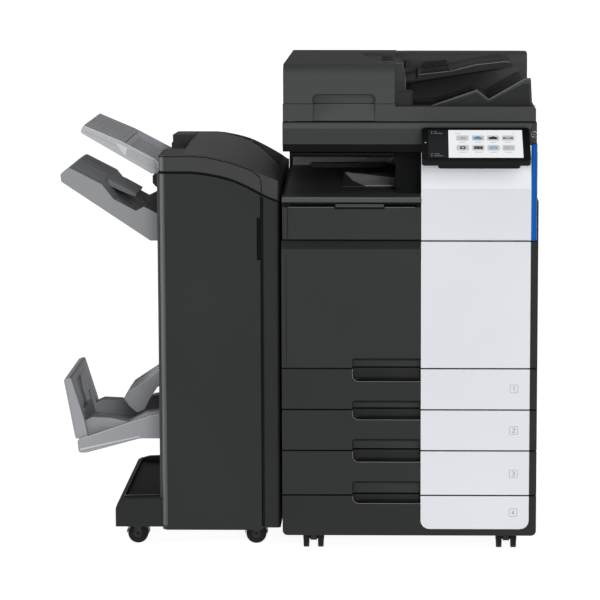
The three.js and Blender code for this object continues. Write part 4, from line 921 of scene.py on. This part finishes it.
for y in range(154, 530, 46):  # paper guides and rollers on the inside of the door
    ribs.prism("y", [(300.9, 492), (296.5, 500), (296.5, 706), (300.9, 716)], y, y + 3)
ribs.done()
rolls = Piece("right_door_rollers", "right_door", "rubber", M["edge"], 0.4)
for y in (170, 262, 354, 446):
    for z in (540, 664):
        rolls.disc("y", 4.5, y, y + 20, 296.8, z)
rolls.done()
by = Piece("bypass_guides", "bypass_tray", "charcoal_light", M["side"], 0.4)
by.rounded("x", 302, 378, 722, 744, 4, 312.1, 312.5).ring("x", rounded(164, 516, 473, 756, 6), rounded(166,
    514, 475, 754, 5), 313.1, 313.45)
by.box(313.1, 313.4, 240, 241.4, 480, 700).box(313.1, 313.4, 440, 441.4, 480, 700).done()
by = Piece("bypass_bed", "bypass_tray", "charcoal_light", M["feeder"], 0.3)
for y in (200, 270, 330, 400, 470):
    by.prism("y", [(308.3, 480), (307.8, 482), (307.8, 740), (308.3, 742)], y, y + 4)
by.done()

# ---- back ----------------------------------------------------------------------------------------------------------
bay = Piece("socket_bay", "machine", "charcoal_light", M["steel"], 0.4)
bay.box(112, 268, 679.2, 681, 642, 758).done()
ports = Piece("sockets", "machine", "black", M["gloss"], 0.3)
ports.ring("y", rounded(124, 142, 720, 737, 1.5), rounded(126, 140, 722, 735, 1), 680.6, 684.5)
ports.ring("y", rounded(152, 168, 722, 735, 1), rounded(154, 166, 724, 733, 0.8), 680.6, 684)
ports.ring("y", rounded(180, 196, 724, 732, 1), rounded(181.5, 194.5, 725.5, 730.5, 0.8), 680.6, 684)
ports.rounded("y", 126, 254, 655, 700, 3, 680.6, 683).ring("y", rounded(-262, -228, 88, 116, 4), rounded(-259,
    -231, 91, 113, 3), 679.2, 686.5)
for x in (-251, -245, -239):
    ports.box(x - 1, x + 1, 679, 684.5, 97 + (4 if x == -245 else 0), 107)
ports.done()
screw = Piece("rear_screws", "machine", "charcoal_light", M["steel"], 0.3)
for x in (-288, -90, 90, 288):
    for z in (70, 318, 780, 1020):
        screw.disc("y", 4.4, 686.9, 687.9, x, z, 16)
for x in (-585, -330):
    for z in (90, 480, 830):
        screw.disc("y", 4, 580.9, 581.9, x, z, 16)
screw.done()

# ---- casters ---------------------------------------------------------------------------------------------------------
for key, (x, y) in {"fl": (-234.5, 80), "fr": (237.2, 80), "bl": (-234.5, 610), "br": (237.2, 610)}.items():
    hub = Piece("hub_" + key, "wheel_" + key, "rubber", M["side"], 0.5)
    for s in (-1, 1):
        hub.disc("x", 13, *sorted((x + s * 24.1, x + s * 24.9)), y - 15, 25, 24)
        hub.disc("x", 5, *sorted((x + s * 24.6, x + s * 25.8)), y - 15, 25, 16)
    hub.done()
    cap = Piece("caster_top_" + key, "swivel_" + key, "black", M["steel"], 0.5)
    cap.ring("z", [(x + 18.6 * a, y + 18.6 * b) for a, b in circle], [(x + 14 * a, y + 14 * b) for a,
        b in circle], 50.6, 53.2).done()
for key, (x, y) in {"ll": (-669.5, 110), "lr": (-377.3, 110), "lb": (-669.5, 520), "rb": (-377.3,
    520)}.items():
    hub = Piece("fin_hub_" + key, "fin_wheel_" + key, "rubber", M["side"], 0.4)
    for s in (-1, 1):
        hub.disc("y", 12, *sorted((y + s * 11.3, y + s * 12.1)), x, 25, 24).disc("y", 3, *sorted((y + s * 12,
            y + s * 12.8)), x, 25, 12)
    hub.done()

# ---- stage: floor, light --------------------------------------------------------------------------
world = bpy.data.worlds.new("world")
bpy.context.scene.world = world
world.use_nodes = True
world.node_tree.nodes["Background"].inputs[0].default_value = (1, 1, 1, 1)
world.node_tree.nodes["Background"].inputs[1].default_value = 0.22
bpy.context.scene.view_settings.view_transform = "Standard"

me = bpy.data.meshes.new("floor")
me.from_pydata([(-70, -70, 0), (70, -70, 0), (70, 70, 0), (-70, 70, 0)], [], [(0, 1, 2, 3)])
floor = bpy.data.objects.new("floor", me)
bpy.context.scene.collection.objects.link(floor)
me.materials.append(lit(material("floor", "#909090", "#969696", 0.9, 40, 0.0, spec=0.0), 0.93, "#ffffff"))


def sun(name, direction, power, spread):
    d = bpy.data.lights.new(name, "SUN")
    d.energy, d.angle = power, math.radians(spread)
    o = bpy.data.objects.new(name, d)
    bpy.context.scene.collection.objects.link(o)
    o.rotation_euler = Vector(direction).to_track_quat("-Z", "Y").to_euler()


sun("key", (-0.22, 0.94, -0.25), 1.3, 24)
sun("crest", (-0.5, -0.2, -0.84), 0.5, 20)
sun("left_rim", (0.97, 0.22, -0.1), 2.4, 10)
